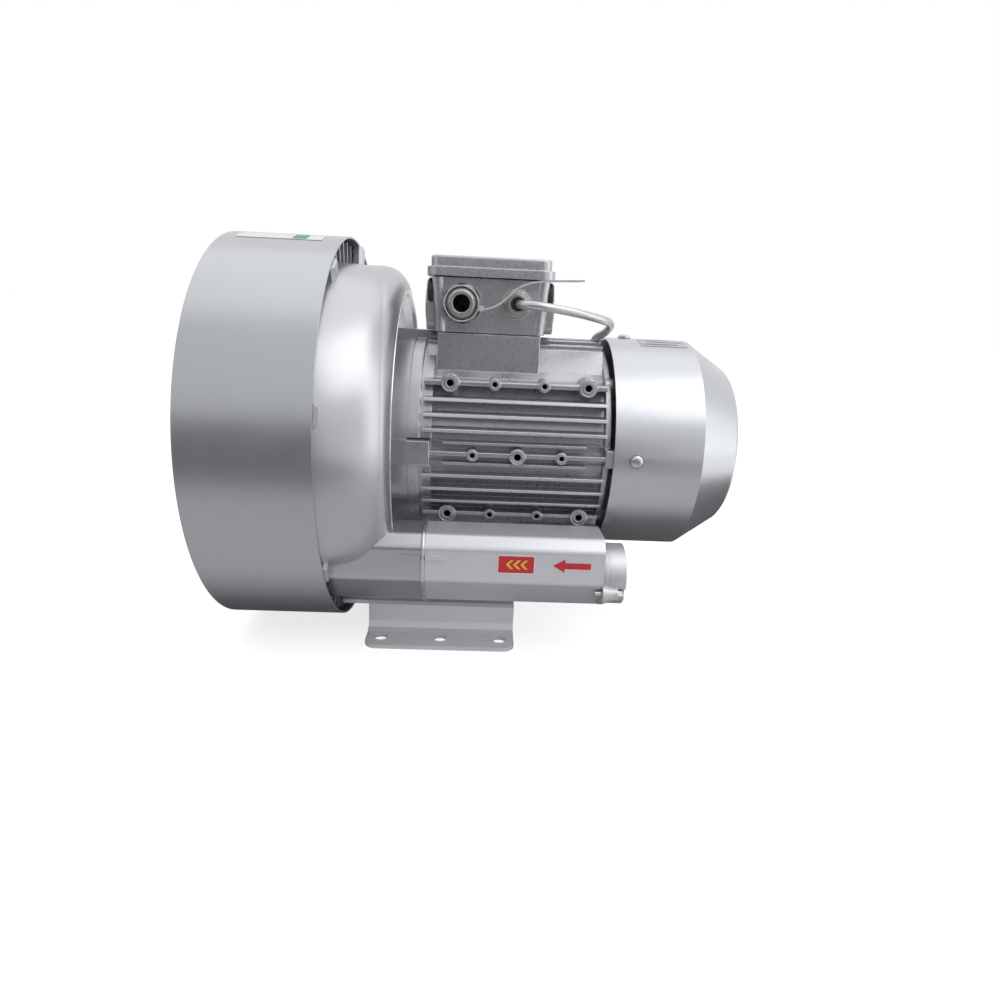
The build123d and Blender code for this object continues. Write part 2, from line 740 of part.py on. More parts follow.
def fan_end_shield():
    """End shield at the fan end, with its bearing seat and four cowl posts."""
    x0 = fan_shield_x
    x1 = fan_bearing_x + bearing_width + 0.6
    body = turned(
        (x0, frame_bore_radius + 1), (x0, 95), (x0 + 5, 95), (x0 + 9, 80), (x0 + 9, 48), (x1 + 3, 42),
        (x1 + 3, bearing_bore_radius + 4), (x1, bearing_bore_radius + 4),
        (x1, bearing_outer_radius + seat_gap), (x0 - 4, bearing_outer_radius + seat_gap),
        (x0 - 4, 38), (x0 + 4, 44), (x0 + 4, frame_bore_radius - 6),
        (x0 - 5, frame_bore_radius - 5), (x0 - 5, frame_bore_radius - seat_gap),
        (x0, frame_bore_radius - seat_gap),
    )
    reach = sqrt((cowl_radius - cowl_wall - ring_gap) ** 2 - cowl_post_width**2 / 4)
    post = spoke(x0, cowl_screw_x + 7, 90, reach, cowl_post_width)
    body += around(post, spaced(4))
    pad = rod(8, x0, x0 + 8, shield_bolt_circle, 0)
    body += around(pad, shield_bolt_angles)
    for angle in shield_bolt_angles:
        y, z = polar(shield_bolt_circle, angle)
        body -= rod(2.5 + screw_gap, x0 - 1, x0 + 10, y, z)
        body -= rod(6.5, x0 + 8, x0 + 20, y, z)
    hole = Plane((cowl_screw_x, 88, 0), x_dir=(1, 0, 0), z_dir=(0, 1, 0))
    hole = extrude(hole * Circle(2.5 + seat_gap), amount=20)
    body -= around(hole, spaced(4))
    body -= rod(frame_bore_radius - 10, x0 - 6, x0 + 4) - rod(44, x0 - 7, x0 + 5)
    return body


def shield_bolts():
    """Four screws of the fan end shield."""
    shapes = []
    seat = fan_shield_x + 8
    for angle in shield_bolt_angles:
        y, z = polar(shield_bolt_circle, angle)
        shapes.append(bolt_x(seat, fan_shield_x - 12, 3.5, 2.5, 8, y, z))
    return join(shapes)


def cooling_fan():
    """Radial fan on the shaft end."""
    x0 = fan_x
    body = tube(20, fan_seat_radius + 0.02, x0, x0 + fan_width)
    body += turned((x0, 19), (x0, 88), (x0 + 2.5, 88), (x0 + 6, 19))
    blade = spoke(x0 + 1, x0 + fan_width - 4, 18, 86, 2.6)
    return body + around(blade, spaced(7))


def fan_clip():
    """Retaining ring that holds the fan."""
    body = tube(fan_seat_radius + 3.5, fan_seat_radius - 0.95, clip_x + 0.1, clip_x + 1.5)
    return body - block(clip_x - 1, clip_x + 3, -2.5, 2.5, 0, 20)


def fan_cowl():
    """Sheet cowl with a coned end and an air grille of ring slots."""
    end_radius = cowl_end_radius
    inner = cowl_radius - cowl_wall
    body = turned(
        (cowl_x, inner), (cowl_x, cowl_radius), (cone_x, cowl_radius),
        (cowl_end_x - 3, end_radius + 1.5), (cowl_end_x, end_radius - 2), (cowl_end_x, 0),
        (cowl_end_x - cowl_wall, 0), (cowl_end_x - cowl_wall, end_radius - 3),
        (cowl_end_x - 4, end_radius), (cone_x, inner),
    )
    for i in range(5):
        radius = 16.0 + 12.0 * i
        slot = tube(radius + 6.5, radius, cowl_end_x - 4, cowl_end_x + 2)
        rib = spoke(cowl_end_x - 5, cowl_end_x + 3, 5, 90, 7)
        body -= slot - around(rib, spaced(4, 45))
    for angle in spaced(4):
        hole = Plane((cowl_screw_x, 98, 0), x_dir=(1, 0, 0), z_dir=(0, 1, 0))
        body -= Rot(angle, 0, 0) * extrude(hole * Circle(2.5 + screw_gap), amount=14)
    return body


def cowl_screws():
    """Four pan head screws of the cowl."""
    head = Plane((cowl_screw_x, cowl_radius + 0.1, 0), x_dir=(1, 0, 0), z_dir=(0, 1, 0))
    shape = extrude(head * Circle(5.6), amount=3.4)
    shape = chamfer(shape.edges().group_by(Axis.Y)[-1], 1.2)
    shank = Plane((cowl_screw_x, cowl_radius - 14, 0), x_dir=(1, 0, 0), z_dir=(0, 1, 0))
    shape += extrude(shank * Circle(2.5), amount=14.5)
    return join(around(shape, spaced(4)))


def box_plan(width, depth, radius):
    """Rounded plan of the terminal box."""
    return Pos(box_middle_x, 0) * RectangleRounded(width, depth, radius)


def terminal_box_base():
    """Open topped box that stands on the motor frame and carries the glands."""
    z0 = box_seat_height + gasket_wall
    z1 = z0 + box_height
    low = Plane.XY.offset(z0) * box_plan(box_width - box_taper, box_depth - box_taper, box_corner)
    high = Plane.XY.offset(z1) * box_plan(box_width, box_depth, box_corner)
    body = loft([low.faces()[0], high.faces()[0]])
    for side_x in (-1, 1):
        for side_y in (-1, 1):
            body += corner_post(side_x, side_y, z0, z1)
    for x, z, radius in gland_table():
        body += bar_y(radius + 5.6, gland_face_y, gland_face_y + 5, x, z)
    for side in (-1, 1):
        x = box_middle_x + side * (box_width / 2 - 4)
        pad = Plane((x, -24, z0 + 24), x_dir=(0, 1, 0), z_dir=(side, 0, 0))
        body += extrude(pad * RectangleRounded(40, 46, 9), amount=11)
        body += extrude(pad * Circle(14), amount=12.5)
    inner = box_plan(
        box_width - 2 * box_wall - box_taper, box_depth - 2 * box_wall - box_taper, box_corner - 2)
    body -= extrude(Plane.XY.offset(z0 + box_wall) * inner, amount=box_height)
    for x in box_lid_stations:
        for y in box_lid_rows:
            body += bar_z(5.5, z0, z1, x, y)
            body -= bar_z(2.0 + seat_gap, z1 - 15, z1 + 1, x, y)
    body -= block(box_middle_x - 28, box_middle_x + 28, -24, 24, z0 - 1, z0 + box_wall + 1)
    for x in box_bolt_stations:
        for y in box_bolt_rows:
            body -= bar_z(2.5 + screw_gap, z0 - 1, z0 + box_wall + 1, x, y)
    for x, z, radius in gland_table():
        body -= bar_y(radius, gland_face_y - 1, gland_face_y + 14, x, z)
    return body


def corner_post(side_x, side_y, z0, z1):
    """Round column at a corner of the terminal box, leaning with its taper."""
    inset = box_post_radius - 1.5
    x = side_x * (box_width / 2 - inset)
    y = side_y * (box_depth / 2 - inset)
    lean = box_taper / 2
    low = Plane.XY.offset(z0) * Pos(box_middle_x + x - side_x * lean, y - side_y * lean)
    high = Plane.XY.offset(z1) * Pos(box_middle_x + x, y)
    return loft([(low * Circle(box_post_radius)).faces()[0], (high * Circle(box_post_radius)).faces()[0]])


def gland_table():
    """Cable entries in the front wall: place and hole radius."""
    return [
        (power_gland_x, power_gland_z, power_hole_radius),
        (sensor_gland_x, sensor_gland_z, sensor_hole_radius),
    ]


def box_gasket():
    """Flat gasket between the motor frame and the terminal box."""
    plan = Plane.XY.offset(box_seat_height) * box_plan(box_width - 10, box_depth - 6, 4)
    body = extrude(plan, amount=gasket_wall)
    body -= block(box_middle_x - 28, box_middle_x + 28, -24, 24, 100, 120)
    for x in box_bolt_stations:
        for y in box_bolt_rows:
            body -= bar_z(2.5 + screw_gap, 100, 120, x, y)
    return body


def lid_gasket():
    """Soft frame between the box and its lid."""
    z0 = box_seat_height + gasket_wall + box_height
    plan = Plane.XY.offset(z0) * box_plan(box_width - 1, box_depth - 1, box_corner)
    inner = Plane.XY.offset(z0 - 1) * box_plan(box_width - 14, box_depth - 14, 6)
    body = extrude(plan, amount=gasket_wall) - extrude(inner, amount=4)
    for x in box_lid_stations:
        for y in box_lid_rows:
            body -= bar_z(2.0 + screw_gap, z0 - 1, z0 + 3, x, y)
    return body


def terminal_box_lid():
    """Stepped lid of the terminal box."""
    z0 = box_seat_height + 2 * gasket_wall + box_height
    z1 = z0 + lid_flange_height
    flange = Plane.XY.offset(z0) * box_plan(lid_flange_width, lid_flange_depth, 12)
    body = extrude(flange, amount=lid_flange_height)
    low = Plane.XY.offset(z1) * box_plan(lid_flange_width - 7, lid_flange_depth - 7, 9)
    body += extrude(low, amount=lid_top_height)
    body = fillet(body.edges().group_by(Axis.Z)[-1], 2.0)
    inner = Plane.XY.offset(z0 - 1) * box_plan(box_width - 14, box_depth - 14, 6)
    body -= extrude(inner, amount=lid_flange_height + lid_top_height - 2)
    for x in box_lid_stations:
        for y in box_lid_rows:
            body -= bar_z(2.0 + screw_gap, z0 - 1, z1 + 20, x, y)
            body -= bar_z(4.6, z1 + lid_top_height - 5, z1 + 20, x, y)
    return body


def box_screws():
    """Screws that hold the terminal box to the frame."""
    shapes = []
    seat = box_seat_height + gasket_wall + box_wall
    for x in box_bolt_stations:
        for y in box_bolt_rows:
            shapes.append(bar_z(4.2, seat, seat + 3, x, y) + bar_z(2.5, seat - 14, seat + 1, x, y))
    return join(shapes)


def lid_screws():
    """Four screws of the lid, sunk in its top."""
    shapes = []
    lid_top = box_seat_height + 2 * gasket_wall + box_height + lid_flange_height + lid_top_height
    seat = lid_top - 5
    for x in box_lid_stations:
        for y in box_lid_rows:
            shapes.append(bar_z(4.0, seat, seat + 3, x, y) + bar_z(2.0, seat - 24, seat + 1, x, y))
    return join(shapes)


def terminal_board():
    """Moulded board with six studs' seats, standing on the floor of the box."""
    z0 = box_seat_height + gasket_wall + box_wall
    body = block(box_middle_x - 31, box_middle_x + 31, -20, 20, z0 + 8, z0 + 14)
    for x in (box_middle_x - 29.5, box_middle_x + 29.5):
        body += block(x - 1.5, x + 1.5, -20, 20, z0, z0 + 9)
    for i in range(4):
        x = box_middle_x - 27 + 18 * i
        body += block(x - 1, x + 1, -20, 20, z0 + 13, z0 + 21)
    for x, y in stud_places():
        body -= bar_z(2.5 + seat_gap, z0, z0 + 22, x, y)
    return body


def stud_places():
    """Six studs in two rows."""
    return [(box_middle_x - 18 + 18 * i, y) for y in (-10, 10) for i in range(3)]


def terminal_studs():
    """Brass studs, each with its nut."""
    z0 = box_seat_height + gasket_wall + box_wall
    shapes = []
    for x, y in stud_places():
        sketch = Pos(x, y) * RegularPolygon(4, 6, major_radius=False)
        nut = extrude(Plane.XY.offset(z0 + 14) * sketch, amount=4)
        shapes.append(bar_z(2.5, z0 + 5, z0 + 26, x, y) + nut)
    return join(shapes)


def round_hexagon(across, radius, y0, y1, x, z, turn=0.0):
    """Hexagon whose corners are turned off."""
    return hex_y(across, y0, y1, x, z, turn) & bar_y(radius, y0, y1, x, z)


def cone_y(radius_near, radius_far, y_near, y_far, x, z):
    """Tapered round bar along Y."""
    near = Plane((x, y_near, z), x_dir=(1, 0, 0), z_dir=(0, 1, 0)) * Circle(radius_near)
    far = Plane((x, y_far, z), x_dir=(1, 0, 0), z_dir=(0, 1, 0)) * Circle(radius_far)
    return loft([near.faces()[0], far.faces()[0]])


def power_gland_body():
    """Large cable gland: thread, flange and hexagon."""
    x, z = power_gland_x, power_gland_z
    f = gland_face_y
    body = bar_y(power_hole_radius - 0.1, f - 12, f + 8, x, z)
    body += round_hexagon(power_hexagon, power_round_radius, f - 9, f - 2, x, z, -6)
    body -= bar_y(9.2, f - 13, f + 9, x, z)
    return body


def power_gland_washer():
    """Rubber washer under the large gland."""
    x, z = power_gland_x, power_gland_z
    f = gland_face_y
    return bar_y(power_round_radius + 0.4, f - 2, f, x, z) - bar_y(power_hole_radius, f - 3, f + 1, x, z)


def power_gland_nut():
    """Dome nut of the large gland, with a mouth that holds the rubber sleeve."""
    x, z = power_gland_x, power_gland_z
    f = gland_face_y
    dome = f - power_nut_reach
    body = round_hexagon(power_hexagon - 1, power_round_radius - 0.6, dome, f - 9.3, x, z, 4)
    body += cone_y(11.0, power_dome_radius, dome - 5.5, dome, x, z)
    body -= bar_y(power_hole_radius, f - 17, f - 9, x, z)
    body -= bar_y(9.0, f - 22, f - 9, x, z)
    body -= bar_y(8.0, f - 25, f - 21, x, z)
    return body


def power_gland_seal():
    """Rubber sleeve inside the large gland; the cable goes through it."""
    x, z = power_gland_x, power_gland_z
    f = gland_face_y
    return bar_y(8.9, f - 22, f + 4, x, z) - bar_y(gland_bore_radius, f - 23, f + 5, x, z)


def sensor_gland_body():
    """Small cable gland on the box."""
    x, z = sensor_gland_x, sensor_gland_z
    f = gland_face_y
    body = bar_y(sensor_hole_radius - 0.1, f - 10, f + 8, x, z)
    body += round_hexagon(sensor_hexagon + 1, sensor_round_radius + 0.5, f - 6, f, x, z, 10)
    body -= bar_y(lead_radius + 0.6, f - 11, f + 9, x, z)
    return body


def sensor_gland_nut():
    """Dome nut of the small gland."""
    x, z = sensor_gland_x, sensor_gland_z
    f = gland_face_y
    body = round_hexagon(sensor_hexagon, sensor_round_radius, f - 14, f - 6.3, x, z, 16)
    body += cone_y(8.6, 10.6, f - 18, f - 14, x, z)
    body -= bar_y(sensor_hole_radius - 0.05, f - 12, f - 6, x, z)
    body -= bar_y(6.4, f - 19, f - 11, x, z)
    return body


def sensor_gland_seal():
    """Rubber ring that grips the lead in the small gland."""
    x, z = sensor_gland_x, sensor_gland_z
    f = gland_face_y
    return bar_y(6.35, f - 16.5, f - 10, x, z) - bar_y(lead_radius + 0.02, f - 17, f - 9, x, z)


def route_radii(points):
    """Arc radius at each corner of a route, from its shorter run and its turn."""
    radii = []
    for a, b, c in zip(points, points[1:], points[2:]):
        one = Vector(*b) - Vector(*a)
        two = Vector(*c) - Vector(*b)
        turn = one.get_angle(two)
        radii.append(0.45 * min(one.length, two.length) / tan(radians(turn / 2)))
    return radii


def sensor_lead():
    """Thermal switch lead from the small gland into the frame beside the cowl."""
    radii = route_radii(lead_route)
    path = FilletPolyline(*lead_route, radius=radii)
    start = Plane(origin=lead_route[0], z_dir=Vector(*lead_route[1]) - Vector(*lead_route[0]))
    return sweep(start * Circle(lead_radius), path=path)


def cable_tie():
    """Thin tie round the dome of the large gland, with its head and free tail."""
    x, z = power_gland_x, power_gland_z
    y = gland_face_y - power_nut_reach - 0.1
    loop = bar_y(16.0, y - 2.3, y, x, z) - bar_y(power_dome_radius + 0.15, y - 3, y + 1, x, z)
    head = block(x + 15, x + 20.5, y - 3.7, y, z - 6.2, z - 1.2)
    head -= bar_y(power_dome_radius + 0.15, y - 5, y + 1, x, z)
    plane = Plane((x, y - 0.4, z), x_dir=(1, 0, 0), z_dir=(0, -1, 0))
    line = Spline((18.5, -4.2), (26, -3), (39, 4.6), (50, 14.8), (74, 22.1), (110, 24.2))
    tail = extrude(plane * trace(line, 1.8), amount=1.4)
    return loop + head + tail


def silencer_shell(side):
    """Long silencer body beside the motor, closed at the port end but for its bore."""
    x0 = silencer_seam_x
    x1 = x0 + silencer_length
    body = duct_bar(side, x0, x1)
    body += duct_rib(side, x0 + 2, x0 + 20)
    body -= duct_bar(side, x0 - 1, x1 - silencer_end_wall, silencer_wall)
    body -= rod(port_radius, x1 - silencer_end_wall - 1, x1 + 1, side * silencer_port_y, silencer_port_z)
    for y, z in port_bolt_rows(side):
        body -= rod(port_bolt_radius + seat_gap, x1 - 6.5, x1 + 1, y, z)
    return body


def silencer_foam(side):
    """Sound absorbing sleeve inside a silencer."""
    x0 = silencer_seam_x + 1
    x1 = silencer_seam_x + silencer_length - silencer_end_wall - 1
    y = side * silencer_port_y
    body = duct_bar(side, x0, x1, silencer_wall + ring_gap)
    return body - rod(duct_radius + 2, x0 - 1, x1 + 1, y, silencer_port_z)


def port_bolt_rows(side):
    """Places of the two bolts of a port flange."""
    return [(side * (silencer_port_y + dy), silencer_port_z + dz) for dy, dz in port_bolt_places]


def port_flange(side):
    """Cast end of a silencer: round flange, threaded port ring and two bolt lugs."""
    x0 = silencer_seam_x + silencer_length
    x1 = x0 + port_plate_wall + port_ring_length
    seat = x0 + port_lug_length
    y = side * silencer_port_y
    body = rod(port_flange_radius, x0, x0 + port_plate_wall, y, silencer_port_z)
    body += rod(port_ring_radius, x0, x1, y, silencer_port_z)
    lug = turned(
        (x0, 0), (x0, port_lug_radius + 3), (x0 + 10, port_lug_radius), (seat, port_lug_radius), (seat, 0),
    )
    for bolt_y, bolt_z in port_bolt_rows(side):
        body += Pos(0, bolt_y, bolt_z) * lug
    for bolt_y, bolt_z in port_bolt_rows(side):
        body -= rod(port_bolt_radius + screw_gap, x0 - 1, seat + 1, bolt_y, bolt_z)
        body -= rod(port_bolt_head / 2 + 1, seat, x1 + 1, bolt_y, bolt_z)
    body -= rod(port_radius, x0 - 1, x1 + 1, y, silencer_port_z)
    return body


def port_bolts():
    """Two bolts at each port flange."""
    shapes = []
    x0 = silencer_seam_x + silencer_length
    seat = x0 + port_lug_length
    for side in (-1, 1):
        for y, z in port_bolt_rows(side):
            shapes.append(bolt_x(seat, x0 - 6, 4, port_bolt_radius, port_bolt_head, y, z))
    return join(shapes)


def foot_plate():
    """Pressed foot: flat tongue under the casing, two flared webs and floor flanges."""
    top = foot_top_z
    floor = -shaft_height
    half = foot_top_width / 2
    edge = foot_width / 2
    wall = foot_wall
    outline = [
        (0, top), (half - 3, top), (half, top - 3), (half, floor + wall + foot_bend),
        (half + 3, floor + wall + 3), (half + foot_bend, floor + wall), (edge, floor + wall),
        (edge, floor), (half + foot_bend - 2, floor), (half - 1, floor + 3),
        (half - wall, floor + wall + foot_bend - 1), (half - wall, top - wall - 2),
        (half - wall - 2, top - wall), (0, top - wall),
    ]
    half_face = make_face(Polyline(*outline, close=True))
    face = half_face + mirror(half_face, about=Plane.YZ)
    x0 = -foot_length / 2
    body = extrude(Plane.YZ.offset(x0) * face, amount=foot_length)
    body += block(x0 - foot_tongue_length, x0 + 1, -half + 3, half - 3, top - wall, top)
    for side in (-1, 1):
        for end in (-1, 1):
            x = end * foot_length / 2
            y = side * edge
            cut = block(x - end * 12, x + end, y - side * 12, y + side, floor - 1, floor + wall + 1)
            cut -= bar_z(12, floor - 2, floor + wall + 2, x - end * 12, y - side * 12)
            body -= cut
        for x in (-foot_hole_pitch / 2, 0, foot_hole_pitch / 2):
            body -= bar_z(foot_hole_radius, floor - 1, floor + wall + 1, x, side * foot_hole_spread / 2)
    for x in foot_bolt_stations:
        for y in foot_bolt_rows:
            body -= bar_z(4 + screw_gap, top - wall - 1, top + 1, x, y)
    return body


def foot_bolts():
    """Bolts from below that hold the foot to the rear housing."""
    shapes = []
    seat = foot_top_z - foot_wall
    for x in foot_bolt_stations:
        for y in foot_bolt_rows:
            sketch = Pos(x, y) * RegularPolygon(6.5, 6, major_radius=False)
            head = extrude(Plane.XY.offset(seat - 5.3) * sketch, amount=5.3)
            shapes.append(head + bar_z(4, seat, seat + foot_wall + 14, x, y))
    return join(shapes)


def shaft_nut():
    """Nut that clamps both impellers."""
    sketch = RegularPolygon(12, 6, major_radius=False)
    body = extrude(Plane.YZ.offset(nut_x - 12) * sketch, amount=9.4)
    return body - rod(8 + 0.02, nut_x - 14, nut_x)


def shaft_washer():
    """Thick washer under the shaft nut."""
    return tube(17, 8 + 0.1, nut_x - 2.6, nut_x)


def impeller_spacer():
    """Sleeve between the two impellers."""
    body = tube(20, shaft_seat_radius + seat_gap, spacer_x0, spacer_x1)
    return body - block(spacer_x0 - 1, spacer_x1 + 1, -4, 4, 0, shaft_seat_radius + 3)


def impeller_key():
    """Parallel key of the impellers."""
    low = shaft_seat_radius - 3.95
    return block(key_x0 + 0.1, key_x1 - 0.1, -3.95, 3.95, low, low + 6.85)


nodes = {
    "cover_ring": cover_ring,
    "ring_screws": ring_screws,
    "front_cover": front_cover,
    "middle_housing": middle_housing,
    "rear_housing": rear_housing,
    "housing_bolts": housing_bolts,
    "hub_cap": hub_cap,
    "hub_cap_screws": hub_cap_screws,
    "impeller_front": lambda: Pos(spacer_x0 - impeller_width, 0, 0) * impeller(-1),
    "impeller_rear": lambda: Pos(spacer_x1 + impeller_width, 0, 0) * impeller(1),
    "impeller_spacer": impeller_spacer,
    "impeller_key": impeller_key,
    "shaft_washer": shaft_washer,
    "shaft_nut": shaft_nut,
    "shaft": shaft,
    "shaft_seal": shaft_seal,
    "drive_bearing_outer": lambda: bearing_outer(drive_bearing_x),
    "drive_bearing_inner": lambda: bearing_inner(drive_bearing_x),
    "drive_bearing_balls": lambda: bearing_balls(drive_bearing_x),
    "fan_bearing_outer": lambda: bearing_outer(fan_bearing_x),
    "fan_bearing_inner": lambda: bearing_inner(fan_bearing_x),
    "fan_bearing_balls": lambda: bearing_balls(fan_bearing_x),
    "motor_frame": motor_frame,
    "frame_bolts": frame_bolts,
    "stator_core": stator_core,
    "stator_windings": stator_windings,
    "rotor_core": rotor_core,
    "fan_end_shield": fan_end_shield,
    "shield_bolts": shield_bolts,
    "cooling_fan": cooling_fan,
    "fan_clip": fan_clip,
    "fan_cowl": fan_cowl,
    "cowl_screws": cowl_screws,
    "terminal_box_base": terminal_box_base,
    "box_gasket": box_gasket,
    "box_screws": box_screws,
    "lid_gasket": lid_gasket,
    "terminal_box_lid": terminal_box_lid,
    "lid_screws": lid_screws,
    "terminal_board": terminal_board,
    "terminal_studs": terminal_studs,
    "power_gland_body": power_gland_body,
    "power_gland_washer": power_gland_washer,
    "power_gland_nut": power_gland_nut,
    "power_gland_seal": power_gland_seal,
    "sensor_gland_body": sensor_gland_body,
    "sensor_gland_nut": sensor_gland_nut,
    "sensor_gland_seal": sensor_gland_seal,
    "sensor_lead": sensor_lead,
    "cable_tie": cable_tie,
    "suction_silencer": lambda: silencer_shell(-1),
    "suction_foam": lambda: silencer_foam(-1),
    "suction_port": lambda: port_flange(-1),
    "discharge_silencer": lambda: silencer_shell(1),
    "discharge_foam": lambda: silencer_foam(1),
    "discharge_port": lambda: port_flange(1),
    "port_bolts": port_bolts,
    "foot_plate": foot_plate,
    "foot_bolts": foot_bolts,
}

for name, make in nodes.items():
    shape = Pos(0, 0, shaft_height) * make()
    export_step(shape, "parts/" + name + ".step")
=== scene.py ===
from math import atan2, cos, degrees, pi, radians, sin, tan

import bmesh
import bpy
from mathutils import Matrix, Vector


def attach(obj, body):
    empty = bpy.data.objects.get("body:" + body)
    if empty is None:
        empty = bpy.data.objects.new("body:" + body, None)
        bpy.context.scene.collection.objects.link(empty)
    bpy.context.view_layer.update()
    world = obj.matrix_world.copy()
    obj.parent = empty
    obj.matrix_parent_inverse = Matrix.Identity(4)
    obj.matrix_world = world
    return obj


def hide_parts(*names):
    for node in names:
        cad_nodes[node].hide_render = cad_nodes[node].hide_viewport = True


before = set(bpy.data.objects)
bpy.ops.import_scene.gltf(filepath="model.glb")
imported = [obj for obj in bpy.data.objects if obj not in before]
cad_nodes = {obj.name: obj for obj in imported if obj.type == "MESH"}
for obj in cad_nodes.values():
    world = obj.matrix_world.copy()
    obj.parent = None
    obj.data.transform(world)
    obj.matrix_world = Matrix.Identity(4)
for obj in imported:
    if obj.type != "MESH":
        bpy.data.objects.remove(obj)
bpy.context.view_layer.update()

# Sizes in metres, the same as in the part's source
shaft_z = 0.2
ring_radius = 0.191
casing_radius, casing_round_x = 0.1663, -0.078
rim_x, rim_radius = -0.0435, 0.143
cowl_radius, cowl_screw_x = 0.107, 0.178
silencer_face_y, silencer_seam_x = -0.148, -0.014
port_y, port_z = 0.115, shaft_z - 0.107
box_middle_x, box_half_length = 0.0385, 0.0530
large_hole, small_hole = 0.0034, 0.0025

# Thin films: how far they stand off, and how thick they are
sticker_lift, print_lift = 0.0002, 0.00015
film_wall, print_wall, plate_wall = 0.00012, 0.00005, 0.00004

# Shoulder of the casing: where it starts under the ring, how deep its foot lies in the casing's skin, and
# its lower end, the start of its full height and its upper end in degrees above the level of the shaft
shoulder_x, under_skin = -0.1045, 0.0008
shoulder_bottom, shoulder_fade, shoulder_top = -40, -22, 82

# Dark surround of the stage: its reach, and its tone at places along Y, the two ends first
card_front, card_back, card_left, card_right, card_height = -2.4, 0.3, -2.6, 0.75, 0.75
card_tones = ((-2.4, 0.12), (0.3, 0.06), (-0.75, 0.12), (-0.50, 0.60), (-0.18, 0.60), (-0.10, 0.06))


# Camera at the place and with the lens that the photograph was taken with

def make_camera():
    """Camera turned by yaw and pitch, with the horizon tilted by the roll."""
    yaw, pitch, roll = radians(2.27), radians(15.52), radians(2.66)
    place = Vector((0.03, -0.7071, 0.3254))
    focal_pixels, picture_pixels, sensor = 669.6, 1000, 36
    forward = Vector((sin(yaw) * cos(pitch), cos(yaw) * cos(pitch), -sin(pitch)))
    level = Vector((cos(yaw), -sin(yaw), 0))
    below = forward.cross(level)
    across = level * cos(roll) - below * sin(roll)
    down = below * cos(roll) + level * sin(roll)
    data = bpy.data.cameras.new("camera")
    data.sensor_width = sensor
    data.lens = focal_pixels / picture_pixels * sensor
    data.clip_start = 0.01
    camera = bpy.data.objects.new("camera", data)
    turn = Matrix((across, -down, -forward)).transposed().to_4x4()
    camera.matrix_world = Matrix.Translation(place) @ turn
    bpy.context.scene.collection.objects.link(camera)
    bpy.context.scene.camera = camera


make_camera()
bpy.context.scene.view_settings.view_transform = "Standard"


# Shader building blocks

def new_finish(name):
    """Material with its node tree and its main shader."""
    finish = bpy.data.materials.new(name)
    finish.use_nodes = True
    tree = finish.node_tree
    shader = tree.nodes["Principled BSDF"]
    return finish, tree, shader


def grain(tree, scale, detail=3.0, roughness=0.55, stretch=None):
    """Noise on the piece's own coordinates, scale in features per metre."""
    place = tree.nodes.new("ShaderNodeTexCoord").outputs["Object"]
    if stretch:
        turn = tree.nodes.new("ShaderNodeMapping")
        turn.inputs["Scale"].default_value = stretch
        tree.links.new(place, turn.inputs["Vector"])
        place = turn.outputs["Vector"]
    noise = tree.nodes.new("ShaderNodeTexNoise")
    noise.inputs["Scale"].default_value = scale
    noise.inputs["Detail"].default_value = detail
    noise.inputs["Roughness"].default_value = roughness
    tree.links.new(place, noise.inputs["Vector"])
    return noise.outputs["Fac"]


def between(tree, factor, low, high, start=0.35, end=0.65):
    """Number that follows a pattern between two values."""
    span = tree.nodes.new("ShaderNodeMapRange")
    span.inputs["From Min"].default_value = start
    span.inputs["From Max"].default_value = end
    span.inputs["To Min"].default_value = low
    span.inputs["To Max"].default_value = high
    tree.links.new(factor, span.inputs["Value"])
    return span.outputs["Result"]


def tones(tree, factor, dark, light, start=0.35, end=0.65):
    """Colour that follows a pattern between two tones."""
    ramp = tree.nodes.new("ShaderNodeValToRGB")
    ramp.color_ramp.elements[0].position = start
    ramp.color_ramp.elements[0].color = (*dark, 1)
    ramp.color_ramp.elements[1].position = end
    ramp.color_ramp.elements[1].color = (*light, 1)
    tree.links.new(factor, ramp.inputs["Fac"])
    return ramp.outputs["Color"]


def blend_colours(tree, factor, first, second):
    """Mix of two colours by a factor, the second one a pattern or a plain tone."""
    mix = tree.nodes.new("ShaderNodeMix")
    mix.data_type = "RGBA"
    tree.links.new(factor, mix.inputs[0])
    tree.links.new(first, mix.inputs[6])
    if isinstance(second, tuple):
        mix.inputs[7].default_value = (*second, 1)
    else:
        tree.links.new(second, mix.inputs[7])
    return mix.outputs[2]


def relief(tree, height, strength, depth, normal=None):
    """Normal with a fine pattern pressed into it, depth in metres."""
    bump = tree.nodes.new("ShaderNodeBump")
    bump.inputs["Strength"].default_value = strength
    bump.inputs["Distance"].default_value = depth
    tree.links.new(height, bump.inputs["Height"])
    if normal is not None:
        tree.links.new(normal, bump.inputs["Normal"])
    return bump.outputs["Normal"]


def soft_edges(tree, radius):
    """Normal that rounds every hard edge by a small radius."""
    round_edge = tree.nodes.new("ShaderNodeBevel")
    round_edge.samples = 4
    round_edge.inputs["Radius"].default_value = radius
    return round_edge.outputs["Normal"]


def edge_mask(tree, rounded):
    """Where the rounded normal leaves the face's own, at edges and corners."""
    face = tree.nodes.new("ShaderNodeNewGeometry").outputs["Normal"]
    dot = tree.nodes.new("ShaderNodeVectorMath")
    dot.operation = "DOT_PRODUCT"
    tree.links.new(rounded, dot.inputs[0])
    tree.links.new(face, dot.inputs[1])
    return between(tree, dot.outputs["Value"], 1.0, 0.0, 0.75, 0.97)


def shaded(colour, factor):
    """Colour made darker or lighter by a factor."""
    return tuple(min(c * factor, 1.0) for c in colour)


# Finishes

